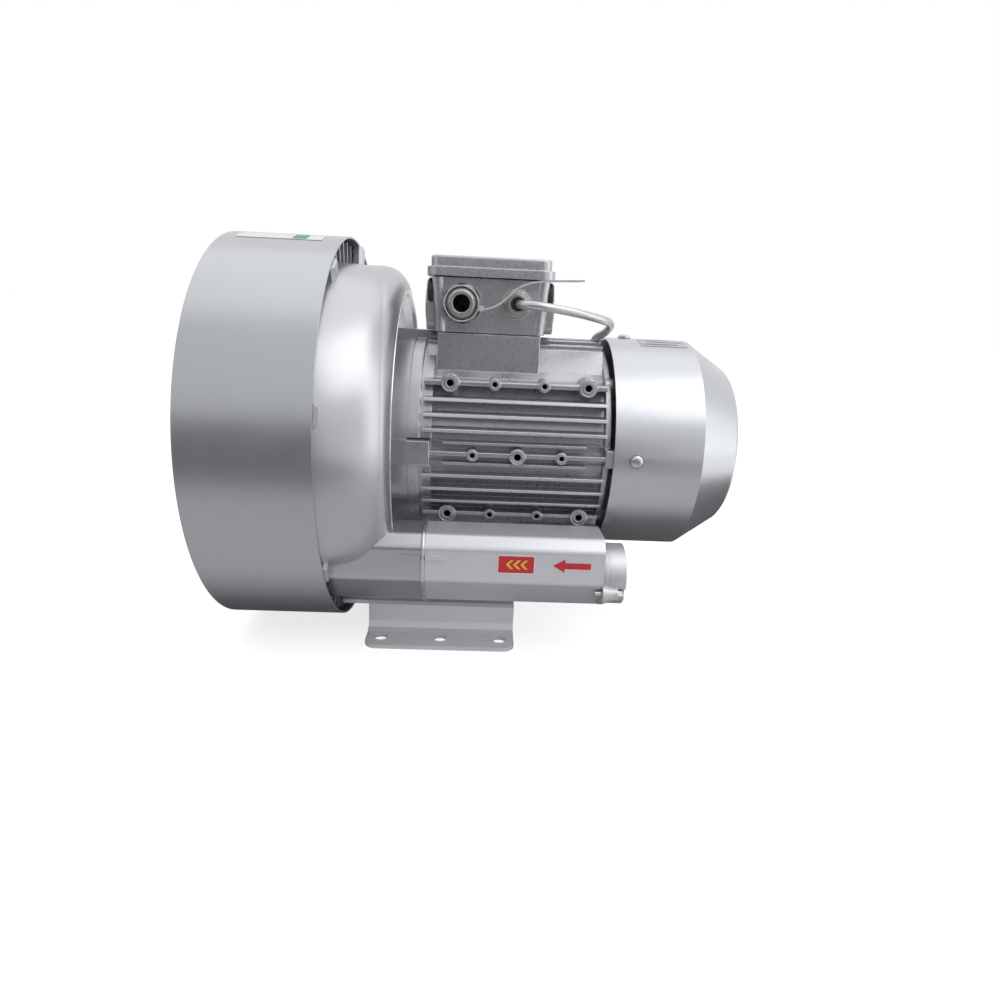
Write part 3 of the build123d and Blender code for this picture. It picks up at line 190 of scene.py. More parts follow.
def silver_sheet(name, colour, gloss, metal, edges=True):
    """Silver lacquer sprayed on smooth sheet: a fine even flake."""
    finish, tree, shader = new_finish(name)
    broad = tones(tree, grain(tree, 5, 2), shaded(colour, 0.98), shaded(colour, 1.02))
    flake = grain(tree, 2600, 1)
    sparkle = tones(tree, flake, shaded(colour, 0.92), shaded(colour, 1.08), 0.3, 0.7)
    tree.links.new(blend_colours(tree, between(tree, flake, 0.2, 0.4), broad, sparkle),
                   shader.inputs["Base Color"])
    shader.inputs["Metallic"].default_value = metal
    tree.links.new(between(tree, grain(tree, 60, 3), gloss - 0.01, gloss + 0.02), shader.inputs["Roughness"])
    if edges:
        tree.links.new(soft_edges(tree, 0.0006), shader.inputs["Normal"])
    return finish


def occlusion_shade(tree, reach):
    """Painted shade: a factor that is dark in narrow gaps and inside corners, light on open faces."""
    hollow_shade = tree.nodes.new("ShaderNodeAmbientOcclusion")
    hollow_shade.samples = 16
    hollow_shade.inputs["Distance"].default_value = reach
    return hollow_shade.outputs["AO"]


def silver_casting(name, colour, gloss, metal, grit, edge, hollow_shade):
    """Silver lacquer over a die casting: grained skin, edges brightened partly by wear and partly as a
    painted highlight, painted shade in hollows.

    Edge is how much brighter the edges are, as wear and painted highlight, and hollow_shade is the tone of
    the painted shade that is left in narrow gaps."""
    finish, tree, shader = new_finish(name)
    edge_radius, gap_reach = 0.0014, 0.016
    rounded = soft_edges(tree, edge_radius)
    broad = tones(tree, grain(tree, 18, 4), shaded(colour, 0.92), shaded(colour, 1.06))
    pits = tones(tree, grain(tree, 900, 4, 0.7), shaded(colour, 0.86), shaded(colour, 1.0), 0.22, 0.42)
    skin = blend_colours(tree, between(tree, grain(tree, 90, 2), 0.1, 0.1 + grit), broad, pits)
    # Edges are brightened partly as wear and partly as a painted highlight
    worn_and_highlit = blend_colours(tree, edge_mask(tree, rounded), skin, shaded(colour, edge))
    # Painted shade: ambient occlusion darkens the base colour in narrow gaps and hollows
    unshaded_share = between(tree, occlusion_shade(tree, gap_reach), hollow_shade, 1.0, 0.3, 0.9)
    painted_gap_shade = tones(tree, unshaded_share, (0.012, 0.012, 0.014), (1, 1, 1), 0.0, 1.0)
    shade = tree.nodes.new("ShaderNodeMix")
    shade.data_type = "RGBA"
    shade.blend_type = "MULTIPLY"
    shade.inputs[0].default_value = 1.0
    tree.links.new(worn_and_highlit, shade.inputs[6])
    tree.links.new(painted_gap_shade, shade.inputs[7])
    tree.links.new(shade.outputs[2], shader.inputs["Base Color"])
    shader.inputs["Metallic"].default_value = metal
    dulled = between(tree, grain(tree, 240, 4), gloss - 0.03, gloss + 0.05)
    tree.links.new(dulled, shader.inputs["Roughness"])
    cast = relief(tree, grain(tree, 900, 4, 0.65), grit, 0.0002, rounded)
    tree.links.new(cast, shader.inputs["Normal"])
    return finish


def bare_metal(name, colour, gloss=0.25, stretch=(1, 1, 1), scale=500, metal=1.0):
    """Machined, plated or ground metal with fine lines."""
    finish, tree, shader = new_finish(name)
    lines = grain(tree, scale, 3, 0.6, stretch)
    tree.links.new(tones(tree, lines, shaded(colour, 0.82), shaded(colour, 1.08)),
                   shader.inputs["Base Color"])
    shader.inputs["Metallic"].default_value = metal
    tree.links.new(between(tree, lines, gloss - 0.06, gloss + 0.1), shader.inputs["Roughness"])
    tree.links.new(relief(tree, lines, 0.15, 0.0001, soft_edges(tree, 0.0003)), shader.inputs["Normal"])
    return finish


def moulded(name, colour, gloss=0.5, scale=900, depth=0.15):
    """Rubber, nylon or moulded plastic with a fine texture."""
    finish, tree, shader = new_finish(name)
    texture = grain(tree, scale, 3)
    tree.links.new(tones(tree, grain(tree, 120, 3), shaded(colour, 0.85), shaded(colour, 1.15)),
                   shader.inputs["Base Color"])
    tree.links.new(between(tree, texture, gloss - 0.06, gloss + 0.08), shader.inputs["Roughness"])
    tree.links.new(relief(tree, texture, depth, 0.0002, soft_edges(tree, 0.0003)), shader.inputs["Normal"])
    return finish


def printed(name, colour, gloss=0.35):
    """Printed film of a sticker, faintly mottled and rippled."""
    finish, tree, shader = new_finish(name)
    tree.links.new(tones(tree, grain(tree, 400, 3), shaded(colour, 0.93), shaded(colour, 1.03)),
                   shader.inputs["Base Color"])
    tree.links.new(between(tree, grain(tree, 80, 2), gloss - 0.05, gloss + 0.08), shader.inputs["Roughness"])
    tree.links.new(relief(tree, grain(tree, 150, 2), 0.05, 0.0002), shader.inputs["Normal"])
    return finish


ring_silver = silver_sheet("ring_silver", (0.47, 0.48, 0.50), gloss=0.30, metal=0.8)
cowl_silver = silver_sheet("cowl_silver", (0.56, 0.57, 0.59), gloss=0.31, metal=0.8, edges=False)
casing_silver = silver_sheet("casing_silver", (0.50, 0.505, 0.53), gloss=0.31, metal=0.8, edges=False)
silencer_silver = silver_sheet("silencer_silver", (0.67, 0.67, 0.70), gloss=0.33, metal=0.45)
# Far paler base colour than the other silver lacquers: painted light that makes up for the shade under the
# machine
foot_silver_painted_light = silver_sheet("foot_silver_painted_light", (0.88, 0.88, 0.90), gloss=0.36, metal=0.15)
lead_silver = silver_sheet("lead_silver", (0.58, 0.57, 0.56), gloss=0.28, metal=0.8, edges=False)
# Casting finishes: edge sets the painted highlight on edges, hollow_shade the painted shade left in gaps
frame_silver = silver_casting("frame_silver", (0.50, 0.50, 0.52),
                              gloss=0.3, metal=0.7, grit=0.16, edge=1.8, hollow_shade=0.88)
box_silver = silver_casting("box_silver", (0.52, 0.515, 0.55),
                            gloss=0.30, metal=0.65, grit=0.03, edge=1.6, hollow_shade=1.0)
lid_silver = silver_casting("lid_silver", (0.50, 0.50, 0.52),
                            gloss=0.28, metal=0.7, grit=0.04, edge=1.7, hollow_shade=1.0)
port_silver = silver_casting("port_silver", (0.58, 0.585, 0.60),
                             gloss=0.36, metal=0.55, grit=0.15, edge=1.3, hollow_shade=0.6)
gland_silver = silver_casting("gland_silver", (0.50, 0.49, 0.47),
                              gloss=0.28, metal=0.85, grit=0.1, edge=1.4, hollow_shade=0.6)
weld_silver = silver_casting("weld_silver", (0.66, 0.66, 0.68),
                             gloss=0.25, metal=0.8, grit=0.8, edge=1.2, hollow_shade=0.35)
faced_silver = bare_metal("faced_silver", (0.46, 0.46, 0.475), 0.34, (1, 1, 1), 900, 0.75)
# Bright bare metal for the rim bead and boss lines: partly bare cut metal and partly a painted edge
# highlight
machined_highlight = bare_metal("machined_highlight", (0.72, 0.72, 0.73), 0.24, (1, 1, 1), 900)
# Near-black metal that stands for the painted shade deep in the screw holes
hole_shade_dark = bare_metal("hole_shade_dark", (0.045, 0.044, 0.042), 0.5, (1, 1, 1), 700, 0.6)
zinc = bare_metal("zinc", (0.66, 0.655, 0.64), 0.26, (1, 1, 1), 700)
ground_steel = bare_metal("ground_steel", (0.55, 0.55, 0.57), 0.2, (1, 14, 14), 220)
turned_aluminium = bare_metal("turned_aluminium", (0.74, 0.75, 0.76), 0.3, (9, 1, 1), 260)
sheet_stack = bare_metal("sheet_stack", (0.16, 0.16, 0.17), 0.45, (40, 1, 1), 60, 0.8)
copper = bare_metal("copper", (0.60, 0.25, 0.10), 0.3, (1, 12, 12), 160)
brass = bare_metal("brass", (0.72, 0.55, 0.24), 0.25)
black_rubber = moulded("black_rubber", (0.018, 0.018, 0.018), 0.62)
black_plastic = moulded("black_plastic", (0.03, 0.03, 0.033), 0.42)
nylon = moulded("nylon", (0.52, 0.52, 0.50), 0.35, 300, 0.1)
foam = moulded("foam", (0.05, 0.05, 0.05), 0.9, 350, 0.9)
white_film = printed("white_film", (0.82, 0.83, 0.84))
green_print = printed("green_print", (0.02, 0.26, 0.22))
red_print = printed("red_print", (0.62, 0.02, 0.03))
yellow_print = printed("yellow_print", (0.85, 0.55, 0.05))
pale_film = printed("pale_film", (0.50, 0.51, 0.53))
grey_print = printed("grey_print", (0.16, 0.16, 0.17))

finish_of = {
    "cover_ring": ring_silver, "ring_screws": zinc, "front_cover": casing_silver,
    "middle_housing": casing_silver, "rear_housing": casing_silver, "housing_bolts": zinc,
    "hub_cap": ring_silver, "hub_cap_screws": zinc, "impeller_front": turned_aluminium,
    "impeller_rear": turned_aluminium, "impeller_spacer": ground_steel, "impeller_key": ground_steel,
    "shaft_washer": zinc, "shaft_nut": zinc, "shaft": ground_steel, "shaft_seal": black_rubber,
    "drive_bearing_outer": ground_steel, "drive_bearing_inner": ground_steel,
    "drive_bearing_balls": ground_steel, "fan_bearing_outer": ground_steel,
    "fan_bearing_inner": ground_steel, "fan_bearing_balls": ground_steel,
    "motor_frame": frame_silver, "frame_bolts": zinc, "stator_core": sheet_stack,
    "stator_windings": copper, "rotor_core": sheet_stack, "fan_end_shield": frame_silver,
    "shield_bolts": zinc, "cooling_fan": black_plastic, "fan_clip": zinc, "fan_cowl": cowl_silver,
    "cowl_screws": zinc, "terminal_box_base": box_silver, "box_gasket": black_rubber,
    "box_screws": zinc, "lid_gasket": black_rubber, "terminal_box_lid": lid_silver,
    "lid_screws": zinc, "terminal_board": black_plastic, "terminal_studs": brass,
    "power_gland_body": gland_silver, "power_gland_washer": black_rubber,
    "power_gland_nut": gland_silver, "power_gland_seal": black_rubber,
    "sensor_gland_body": gland_silver, "sensor_gland_nut": gland_silver,
    "sensor_lead": lead_silver, "cable_tie": nylon, "suction_silencer": silencer_silver,
    "suction_foam": foam, "suction_port": port_silver, "discharge_silencer": silencer_silver,
    "discharge_foam": foam, "discharge_port": port_silver, "foot_plate": foot_silver_painted_light,
    "foot_bolts": zinc, "sensor_gland_seal": black_rubber, "port_bolts": zinc,
}
for node_name, node in cad_nodes.items():
    for place in node.material_slots:
        place.material = finish_of[node_name]


# Pieces

def add_piece(name, mesh, finishes, replaced=(), body="housing"):
    """Turns a bmesh into a piece of the object that rides on a body."""
    data = bpy.data.meshes.new(name)
    mesh.to_mesh(data)
    mesh.free()
    for finish in finishes:
        data.materials.append(finish)
    data.polygons.foreach_set("use_smooth", [True] * len(data.polygons))
    data.set_sharp_from_angle(angle=radians(32))
    return hang(bpy.data.objects.new(name, data), replaced, body)


def hang(piece, replaced=(), body="housing"):
    """Puts a piece into the scene and onto the body that carries it."""
    bpy.context.scene.collection.objects.link(piece)
    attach(piece, body)
    if replaced:
        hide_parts(*replaced)
    return piece


def wrapped_patch(mesh, x0, x1, radius, start, end, number, thick=film_wall):
    """Thin film wrapped on a drum: start and end in degrees above the near side."""
    before = set(mesh.faces)
    low = [mesh.verts.new((x, -radius * cos(radians(start)), shaft_z + radius * sin(radians(start))))
           for x in (x0, x1)]
    edge = mesh.edges.new(low)
    bmesh.ops.spin(mesh, geom=[*low, edge], cent=(0, 0, shaft_z), axis=(1, 0, 0),
                   angle=-radians(end - start), steps=8, use_merge=False, use_duplicate=False)
    film = [f for f in mesh.faces if f not in before]
    bmesh.ops.recalc_face_normals(mesh, faces=film)
    outward = film[0].normal.dot(film[0].calc_center_median() - Vector((0, 0, shaft_z)))
    if outward < 0:
        bmesh.ops.reverse_faces(mesh, faces=film)
    bmesh.ops.solidify(mesh, geom=film, thickness=-thick)
    for face in mesh.faces:
        if face not in before:
            face.material_index = number


def flat_patch(mesh, points, y, number, thick=film_wall):
    """Thin film on a face towards the near side, from its outline in x and z."""
    before = set(mesh.faces)
    corners = [mesh.verts.new((x, y, z)) for x, z in points]
    face = mesh.faces.new(corners)
    face.normal_update()
    if face.normal.y > 0:
        face.normal_flip()
    grown = bmesh.ops.extrude_face_region(mesh, geom=[face])["geom"]
    outer = [v for v in grown if isinstance(v, bmesh.types.BMVert)]
    bmesh.ops.translate(mesh, vec=(0, -thick, 0), verts=outer)
    made = [f for f in mesh.faces if f not in before]
    bmesh.ops.recalc_face_normals(mesh, faces=made)
    for f in made:
        f.material_index = number


def rectangle(x0, x1, z0, z1):
    """Corners of an upright rectangle, as pairs of x and z."""
    return [(x0, z0), (x1, z0), (x1, z1), (x0, z1)]


def ring_sticker():
    """Blank white sticker with a green block on the cover ring."""
    mesh = bmesh.new()
    radius = ring_radius + sticker_lift
    left, right, low, high = -0.193, -0.116, 72.1, 79.2
    block_left, block_right, block_low, block_high = -0.143, -0.130, 72.8, 78.6
    wrapped_patch(mesh, left, right, radius, low, high, 0)
    wrapped_patch(mesh, block_left, block_right, radius + print_lift, block_low, block_high, 1, print_wall)
    return add_piece("ring_sticker", mesh, (white_film, green_print))


def cowl_sticker():
    """Pale film with plain bars on top of the fan cowl."""
    mesh = bmesh.new()
    radius = cowl_radius + sticker_lift
    left, right, low, high = 0.189, 0.235, 71.0, 85.0
    first_bar, bar_step, bar_width = 73.0, 4.2, 1.6
    wrapped_patch(mesh, left, right, radius, low, high, 0)
    for row, (start, length) in enumerate(((0.192, 0.034), (0.196, 0.036), (0.192, 0.026))):
        bar = first_bar + bar_step * row
        wrapped_patch(mesh, start, start + length, radius + print_lift, bar, bar + bar_width, 1, print_wall)
    return add_piece("cowl_sticker", mesh, (pale_film, grey_print))


def red_plate():
    """Red plate with a pale border and chevrons that point along the flow."""
    mesh = bmesh.new()
    x0, x1, z0, z1 = 0.0525, 0.0860, 0.1020, 0.1195
    border, half, stroke, chevron_lift = 0.0008, 0.0042, 0.0026, 0.00022
    y = silencer_face_y - sticker_lift
    middle = (z0 + z1) / 2
    flat_patch(mesh, rectangle(x0, x1, z0, z1), y, 0)
    inner = rectangle(x0 + border, x1 - border, z0 + border, z1 - border)
    flat_patch(mesh, inner, y - print_lift, 1, plate_wall)
    for x in (0.0600, 0.0665, 0.0730):
        chevron = [(x, middle), (x + half, middle + half), (x + half + stroke, middle + half),
                   (x + stroke, middle), (x + half + stroke, middle - half), (x + half, middle - half)]
        flat_patch(mesh, chevron, y - chevron_lift, 2, plate_wall)
    return add_piece("red_plate", mesh, (white_film, red_print, yellow_print))


def flow_arrow():
    """Red arrow that shows the way of the air."""
    mesh = bmesh.new()
    tip, head, tail, middle = 0.1022, 0.1130, 0.1364, 0.1108
    barb, shaft = 0.0062, 0.0028
    outline = [(tip, middle), (head, middle + barb), (head, middle + shaft), (tail, middle + shaft),
               (tail, middle - shaft), (head, middle - shaft), (head, middle - barb)]
    flat_patch(mesh, outline, silencer_face_y - sticker_lift, 0)
    return add_piece("flow_arrow", mesh, (red_print,))


def turned(mesh, outline, centre, axis, number=0, steps=32):
    """Closed outline of pairs, distance along the axis and radius, spun to a solid."""
    centre, axis = Vector(centre), Vector(axis).normalized()
    side = axis.orthogonal().normalized()
    before = set(mesh.faces)
    corners = [mesh.verts.new(centre + axis * along + side * radius) for along, radius in outline]
    edges = [mesh.edges.new((corners[i - 1], corner)) for i, corner in enumerate(corners)]
    bmesh.ops.spin(mesh, geom=[*corners, *edges], cent=centre, axis=axis, angle=2 * pi,
                   steps=steps, use_merge=True)
    made = [f for f in mesh.faces if f not in before]
    bmesh.ops.remove_doubles(mesh, verts=list({v for f in made for v in f.verts}), dist=1e-7)
    bmesh.ops.delete(mesh, geom=[e for e in mesh.edges if not e.link_faces], context="EDGES")
    made = [f for f in mesh.faces if f not in before]
    bmesh.ops.recalc_face_normals(mesh, faces=made)
    for face in made:
        face.material_index = number


def boss_places():
    """Screw holes of the motor frame: x, y of the face, z, radius and whether it is large."""
    ledge_face, ledge_rise, rib_z = 0.086, 0.0625, shaft_z - 0.001
    places = []
    for x, large in ((0.004, True), (0.045, False), (0.091, False), (0.132, True)):
        for z in (shaft_z - ledge_rise, shaft_z + ledge_rise):
            places.append((x, ledge_face, z, large))
    for x, face, large in ((0.0265, 0.104, False), (0.068, 0.105, True), (0.109, 0.104, False)):
        places.append((x, face, rib_z, large))
    return [(x, side * y, z, large_hole if large else small_hole, large)
            for side in (-1, 1) for x, y, z, large in places]


# Outer radius of a boss by whether it is on the middle rib and whether it is large
boss_outer = {(False, True): 0.0085, (False, False): 0.0055, (True, True): 0.0075, (True, False): 0.0055}


def inward(y):
    """Way into a hole whose mouth lies on one side of the machine."""
    return 0, -1 if y > 0 else 1, 0


def boss_threads():
    """Thread with its crests and flat end in every screw hole of the frame, coloured near-black as painted
    shade deep in the holes.
    """
    mesh = bmesh.new()
    start, end, end_wall, last_turn, fit, flank = 0.0003, 0.0136, 0.0005, 0.001, 0.00003, 0.0001
    for x, y, z, hole, large in boss_places():
        wall, crest, pitch = hole - fit, hole * 0.85, hole * 0.36
        outline = [(start, wall)]
        for turn in range(int((end - start - last_turn) / pitch)):
            outline += [(start + turn * pitch, wall - flank), (start + (turn + 0.5) * pitch, crest)]
        outline += [(end - end_wall, wall - flank), (end - end_wall, 0), (end, 0), (end, wall)]
        turned(mesh, outline, (x, y, z), inward(y), steps=20)
    return add_piece("boss_threads", mesh, (hole_shade_dark,))


def boss_rims():
    """Rings where the bosses were faced and countersunk, and a bright line round each large one that is
    partly bare cut metal and partly a painted edge highlight.
    """
    mesh = bmesh.new()
    middle_rib_y = 0.09
    sunk, facing, line = 0.00003, 0.00012, 0.00035
    edge_width, mouth_width, line_width = 0.0009, 0.0007, 0.0003
    for x, y, z, hole, large in boss_places():
        face = boss_outer[abs(y) > middle_rib_y, large] - edge_width
        mouth = hole + mouth_width
        outline = [(-facing, mouth), (-facing, face - line_width), (sunk, face), (sunk, mouth)]
        turned(mesh, outline, (x, y, z), inward(y), 0, 32)
        if large:
            outline = [(-line, face - line_width), (-line, face + line_width),
                       (sunk, face + 2 * line_width), (sunk, face - 2 * line_width)]
            turned(mesh, outline, (x, y, z), inward(y), 1, 32)
    return add_piece("boss_rims", mesh, (faced_silver, machined_highlight))


def casing_rim():
    """Bright bead where the round of the casing turns into its recessed back, partly wear and partly a
    painted edge highlight.
    """
    mesh = bmesh.new()
    bead, corners = 0.0008, 8
    turns = [2 * pi / corners * i for i in range(corners)]
    outline = [(rim_x + bead * cos(turn), rim_radius + bead * sin(turn)) for turn in turns]
    turned(mesh, outline, (0, 0, shaft_z), (1, 0, 0), 0, 180)
    return add_piece("casing_rim", mesh, (machined_highlight,))


def casing_reach(x):
    """Radius of the casing's own skin at a place along the shaft."""
    along = max(x - casing_round_x, 0) / (rim_x - casing_round_x)
    return rim_radius + (casing_radius - rim_radius) * (1 - along ** 2) ** 0.5


def shoulder_height(angle):
    """Share of the shoulder's height at an angle above the level of the shaft, in degrees."""
    if angle > 0:
        return cos(pi / 2 * min(angle / shoulder_top, 1)) ** 0.7
    if angle > shoulder_fade:
        return 1
    return cos(pi / 2 * min((angle - shoulder_fade) / (shoulder_bottom - shoulder_fade), 1))


def casing_shoulder():
    """Smooth shoulder that leads the round of the casing out to the edge of the ring."""
    mesh = bmesh.new()
    front, bend, back = Vector((shoulder_x, 0.1885)), Vector((-0.051, 0.1738)), Vector((-0.0440, 0.1470))
    stops = [i / 16 for i in range(17)]
    slope = [front * (1 - t) ** 2 + bend * 2 * t * (1 - t) + back * t ** 2 for t in stops]
    under = [Vector((x, casing_reach(x) - under_skin))
             for x in (-0.0450, -0.0480, -0.0540, -0.0600, -0.0680, casing_round_x, shoulder_x)]
    start = radians(shoulder_bottom)
    for side in (-1, 1):
        way = Vector((0, side * cos(start), sin(start)))
        corners = [mesh.verts.new(Vector((x, 0, shaft_z)) + way * radius) for x, radius in slope + under]
        face = mesh.faces.new(corners)
        bmesh.ops.spin(mesh, geom=[*corners, *face.edges, face], cent=(0, 0, shaft_z), axis=(side, 0, 0),
                       angle=radians(shoulder_top - shoulder_bottom), steps=90)
    for vert in mesh.verts:
        out = Vector((0, vert.co.y, vert.co.z - shaft_z))
        skin = casing_reach(vert.co.x) - under_skin
        height = max(out.length - skin, 0) * shoulder_height(degrees(atan2(out.z, abs(out.y))))
        vert.co = Vector((vert.co.x, 0, shaft_z)) + out.normalized() * (min(out.length, skin) + height)
    bmesh.ops.recalc_face_normals(mesh, faces=mesh.faces)
    return add_piece("casing_shoulder", mesh, (casing_silver,))


def recessed(mesh, cutter):
    """Mesh with the cutter's shape taken out of it."""
    bodies = []
    for name, shape in (("screw_body", mesh), ("screw_cutter", cutter)):
        data = bpy.data.meshes.new(name)
        shape.to_mesh(data)
        shape.free()
        bodies.append(bpy.data.objects.new(name, data))
        bpy.context.scene.collection.objects.link(bodies[-1])
    cut = bodies[0].modifiers.new("recess", "BOOLEAN")
    cut.operation, cut.solver, cut.object = "DIFFERENCE", "EXACT", bodies[1]
    cut.use_self = True
    whole = bodies[0].evaluated_get(bpy.context.evaluated_depsgraph_get())
    result = bmesh.new()
    result.from_mesh(whole.to_mesh())
    for body in bodies:
        bpy.data.objects.remove(body)
    return result


def cowl_screw_heads():
    """Four pan heads with a cross recess, each on a washer."""
    heads, crosses = bmesh.new(), bmesh.new()
    stand_off = 0.00012
    seat = cowl_radius + stand_off
    shank_length, shank, washer, washer_wall = 0.0135, 0.0024, 0.0068, 0.0010
    head, head_height = 0.0053, 0.0036
    recess_place, recess_turn = 0.0031, 0.4
    recess_size = Matrix.Diagonal((0.0056, 0.0030, 0.0010, 1))
    outline = [(-shank_length, 0), (-shank_length, shank), (0, shank), (0, washer),
               (washer_wall, washer + 0.0001), (washer_wall, head + 0.0001), (0.0024, head),
               (0.0031, 0.0044), (0.0035, 0.0028), (head_height, 0)]
    for turn in range(4):
        out = Vector((0, cos(turn * pi / 2), sin(turn * pi / 2)))
        centre = Vector((cowl_screw_x, 0, shaft_z)) + out * seat
        turned(heads, outline, centre, out, steps=40)
        spin = Matrix.Rotation(turn * pi / 2, 4, "X")
        for tilt in (recess_turn, recess_turn + pi / 2):
            place = Matrix.Translation(centre + out * recess_place) @ spin @ Matrix.Rotation(tilt, 4, "Y")
            bmesh.ops.create_cube(crosses, size=1, matrix=place @ recess_size)
    return add_piece("cowl_screw_heads", recessed(heads, crosses), (zinc,),
                     ("cowl_screws",))


def rounded_outline(points, radius, steps=6):
    """Closed outline whose corners are rounded off."""
    smooth = []
    for i, corner in enumerate(points):
        back = (points[i - 1] - corner).normalized()
        ahead = (points[(i + 1) % len(points)] - corner).normalized()
        reach = radius / tan(back.angle(ahead) / 2)
        for step in range(steps + 1):
            t = step / steps
            smooth.append(corner + back * reach * (1 - t) ** 2 + ahead * reach * t ** 2)
    return smooth


def silencer_seams():
    """Weld bead round each silencer where it meets the duct of the casing."""
    bead, corner = 0.0019, 0.008
    section = [(0.148, -0.076), (0.148, -0.107), (0.118, -0.139), (0.084, -0.139),
               (0.084, -0.082), (0.098, -0.066), (0.138, -0.066)]
    line = bpy.data.curves.new("silencer_seams", "CURVE")
    line.dimensions = "3D"
    line.bevel_depth = bead
    line.bevel_resolution = 3
    for side in (-1, 1):
        outline = rounded_outline([Vector(place) for place in section], corner)
        spline = line.splines.new("POLY")
        spline.points.add(len(outline) - 1)
        for point, (y, z) in zip(spline.points, outline):
            point.co = (silencer_seam_x, side * y, shaft_z + z, 1)
        spline.use_cyclic_u = True
    line.materials.append(weld_silver)
    return hang(bpy.data.objects.new("silencer_seams", line))


def sensor_cable():
    """Painted lead from the small gland over the fins into the frame."""
    lead_radius = 0.0039
    line = bpy.data.curves.new("sensor_cable", "CURVE")
    line.dimensions = "3D"
    line.bevel_depth = lead_radius
    line.bevel_resolution = 6
    line.resolution_u = 16
    line.use_fill_caps = True
    route = [(0.0628, -0.058, 0.1345), (0.0628, -0.083, 0.1345), (0.082, -0.092, 0.1336),
             (0.116, -0.082, 0.1295), (0.142, -0.068, 0.1245), (0.155, -0.051, 0.1215),
             (0.153, -0.034, 0.1125), (0.146, -0.0202, 0.1075), (0.1435, -0.01875, 0.1015),
             (0.1435, -0.01875, 0.090)]
    spline = line.splines.new("NURBS")
    spline.points.add(len(route) - 1)
    for point, (x, y, z) in zip(spline.points, route):
        point.co = (x, y, shaft_z + z, 1)
    spline.order_u = 3
    spline.use_endpoint_u = True
    line.materials.append(lead_silver)
    return hang(bpy.data.objects.new("sensor_cable", line), ("sensor_lead",))


def port_threads():
    """Thread cut into the bore of both port rings."""
    mesh = bmesh.new()
    start, pitch, steps, turns = 0.1505, 0.002309, 36, 8
    root, crest = 0.02242, 0.0213
    for side in (-1, 1):
        centre = Vector((start, side * port_y, port_z))
        ridge = [mesh.verts.new(centre + Vector((along, 0, radius)))
                 for along, radius in ((0, root), (pitch * 0.9, root), (pitch * 0.45, crest))]
        face = mesh.faces.new(ridge)
        bmesh.ops.spin(mesh, geom=[*ridge, *face.edges, face], cent=centre, axis=(1, 0, 0),
                       dvec=(pitch / steps, 0, 0), angle=2 * pi * turns, steps=steps * turns)
    bmesh.ops.recalc_face_normals(mesh, faces=mesh.faces)
    return add_piece("port_threads", mesh, (port_silver,))


def side_plugs():
    """Black blanking plugs in the side entries of the terminal box."""
    mesh = bmesh.new()
    entry_y, entry_z = -0.044, shaft_z + 0.1445
    radius, height, chamfer_start, chamfer = 0.0108, 0.0058, 0.0045, 0.0010
    outline = [(0, 0), (0, radius), (chamfer_start, radius), (height, radius - chamfer), (height, 0)]
    for side in (-1, 1):
        mouth = (box_middle_x + side * box_half_length, entry_y, entry_z)
        turned(mesh, outline, mouth, (side, 0, 0), steps=40)
    return add_piece("side_plugs", mesh, (black_plastic,))


ring_sticker()
cowl_sticker()
red_plate()
flow_arrow()
boss_threads()
boss_rims()
casing_rim()
casing_shoulder()
cowl_screw_heads()
silencer_seams()
sensor_cable()
port_threads()
side_plugs()


# Floor, light and background

def seen_rays(tree):
    """Rays that see the background: camera, glossy and transmission."""
    path = tree.nodes.new("ShaderNodeLightPath")
    total = path.outputs["Is Camera Ray"]
    for ray in ("Is Glossy Ray", "Is Transmission Ray"):
        most = tree.nodes.new("ShaderNodeMath")
        most.operation = "MAXIMUM"
        tree.links.new(total, most.inputs[0])
        tree.links.new(path.outputs[ray], most.inputs[1])
        total = most.outputs["Value"]
    return total


def pale_world():
    """Soft light from all round, and a white backdrop that is a little greyer behind the camera."""
    world = bpy.data.worlds.new("studio")
    bpy.context.scene.world = world
    world.use_nodes = True
    tree = world.node_tree
    soft = tree.nodes["Background"]
    soft.inputs["Color"].default_value = (0.95, 0.97, 1.0, 1)
    soft.inputs["Strength"].default_value = 0.6
    way = tree.nodes.new("ShaderNodeSeparateXYZ")
    tree.links.new(tree.nodes.new("ShaderNodeTexCoord").outputs["Generated"], way.inputs["Vector"])
    backdrop = tree.nodes.new("ShaderNodeBackground")
    tree.links.new(tones(tree, way.outputs["Y"], (0.88, 0.89, 0.91), (1, 1, 1), 0.2, 0.6),
                   backdrop.inputs["Color"])
    chosen = tree.nodes.new("ShaderNodeMixShader")
    tree.links.new(seen_rays(tree), chosen.inputs["Fac"])
    tree.links.new(soft.outputs["Background"], chosen.inputs[1])
    tree.links.new(backdrop.outputs["Background"], chosen.inputs[2])
    tree.links.new(chosen.outputs["Shader"], tree.nodes["World Output"].inputs["Surface"])


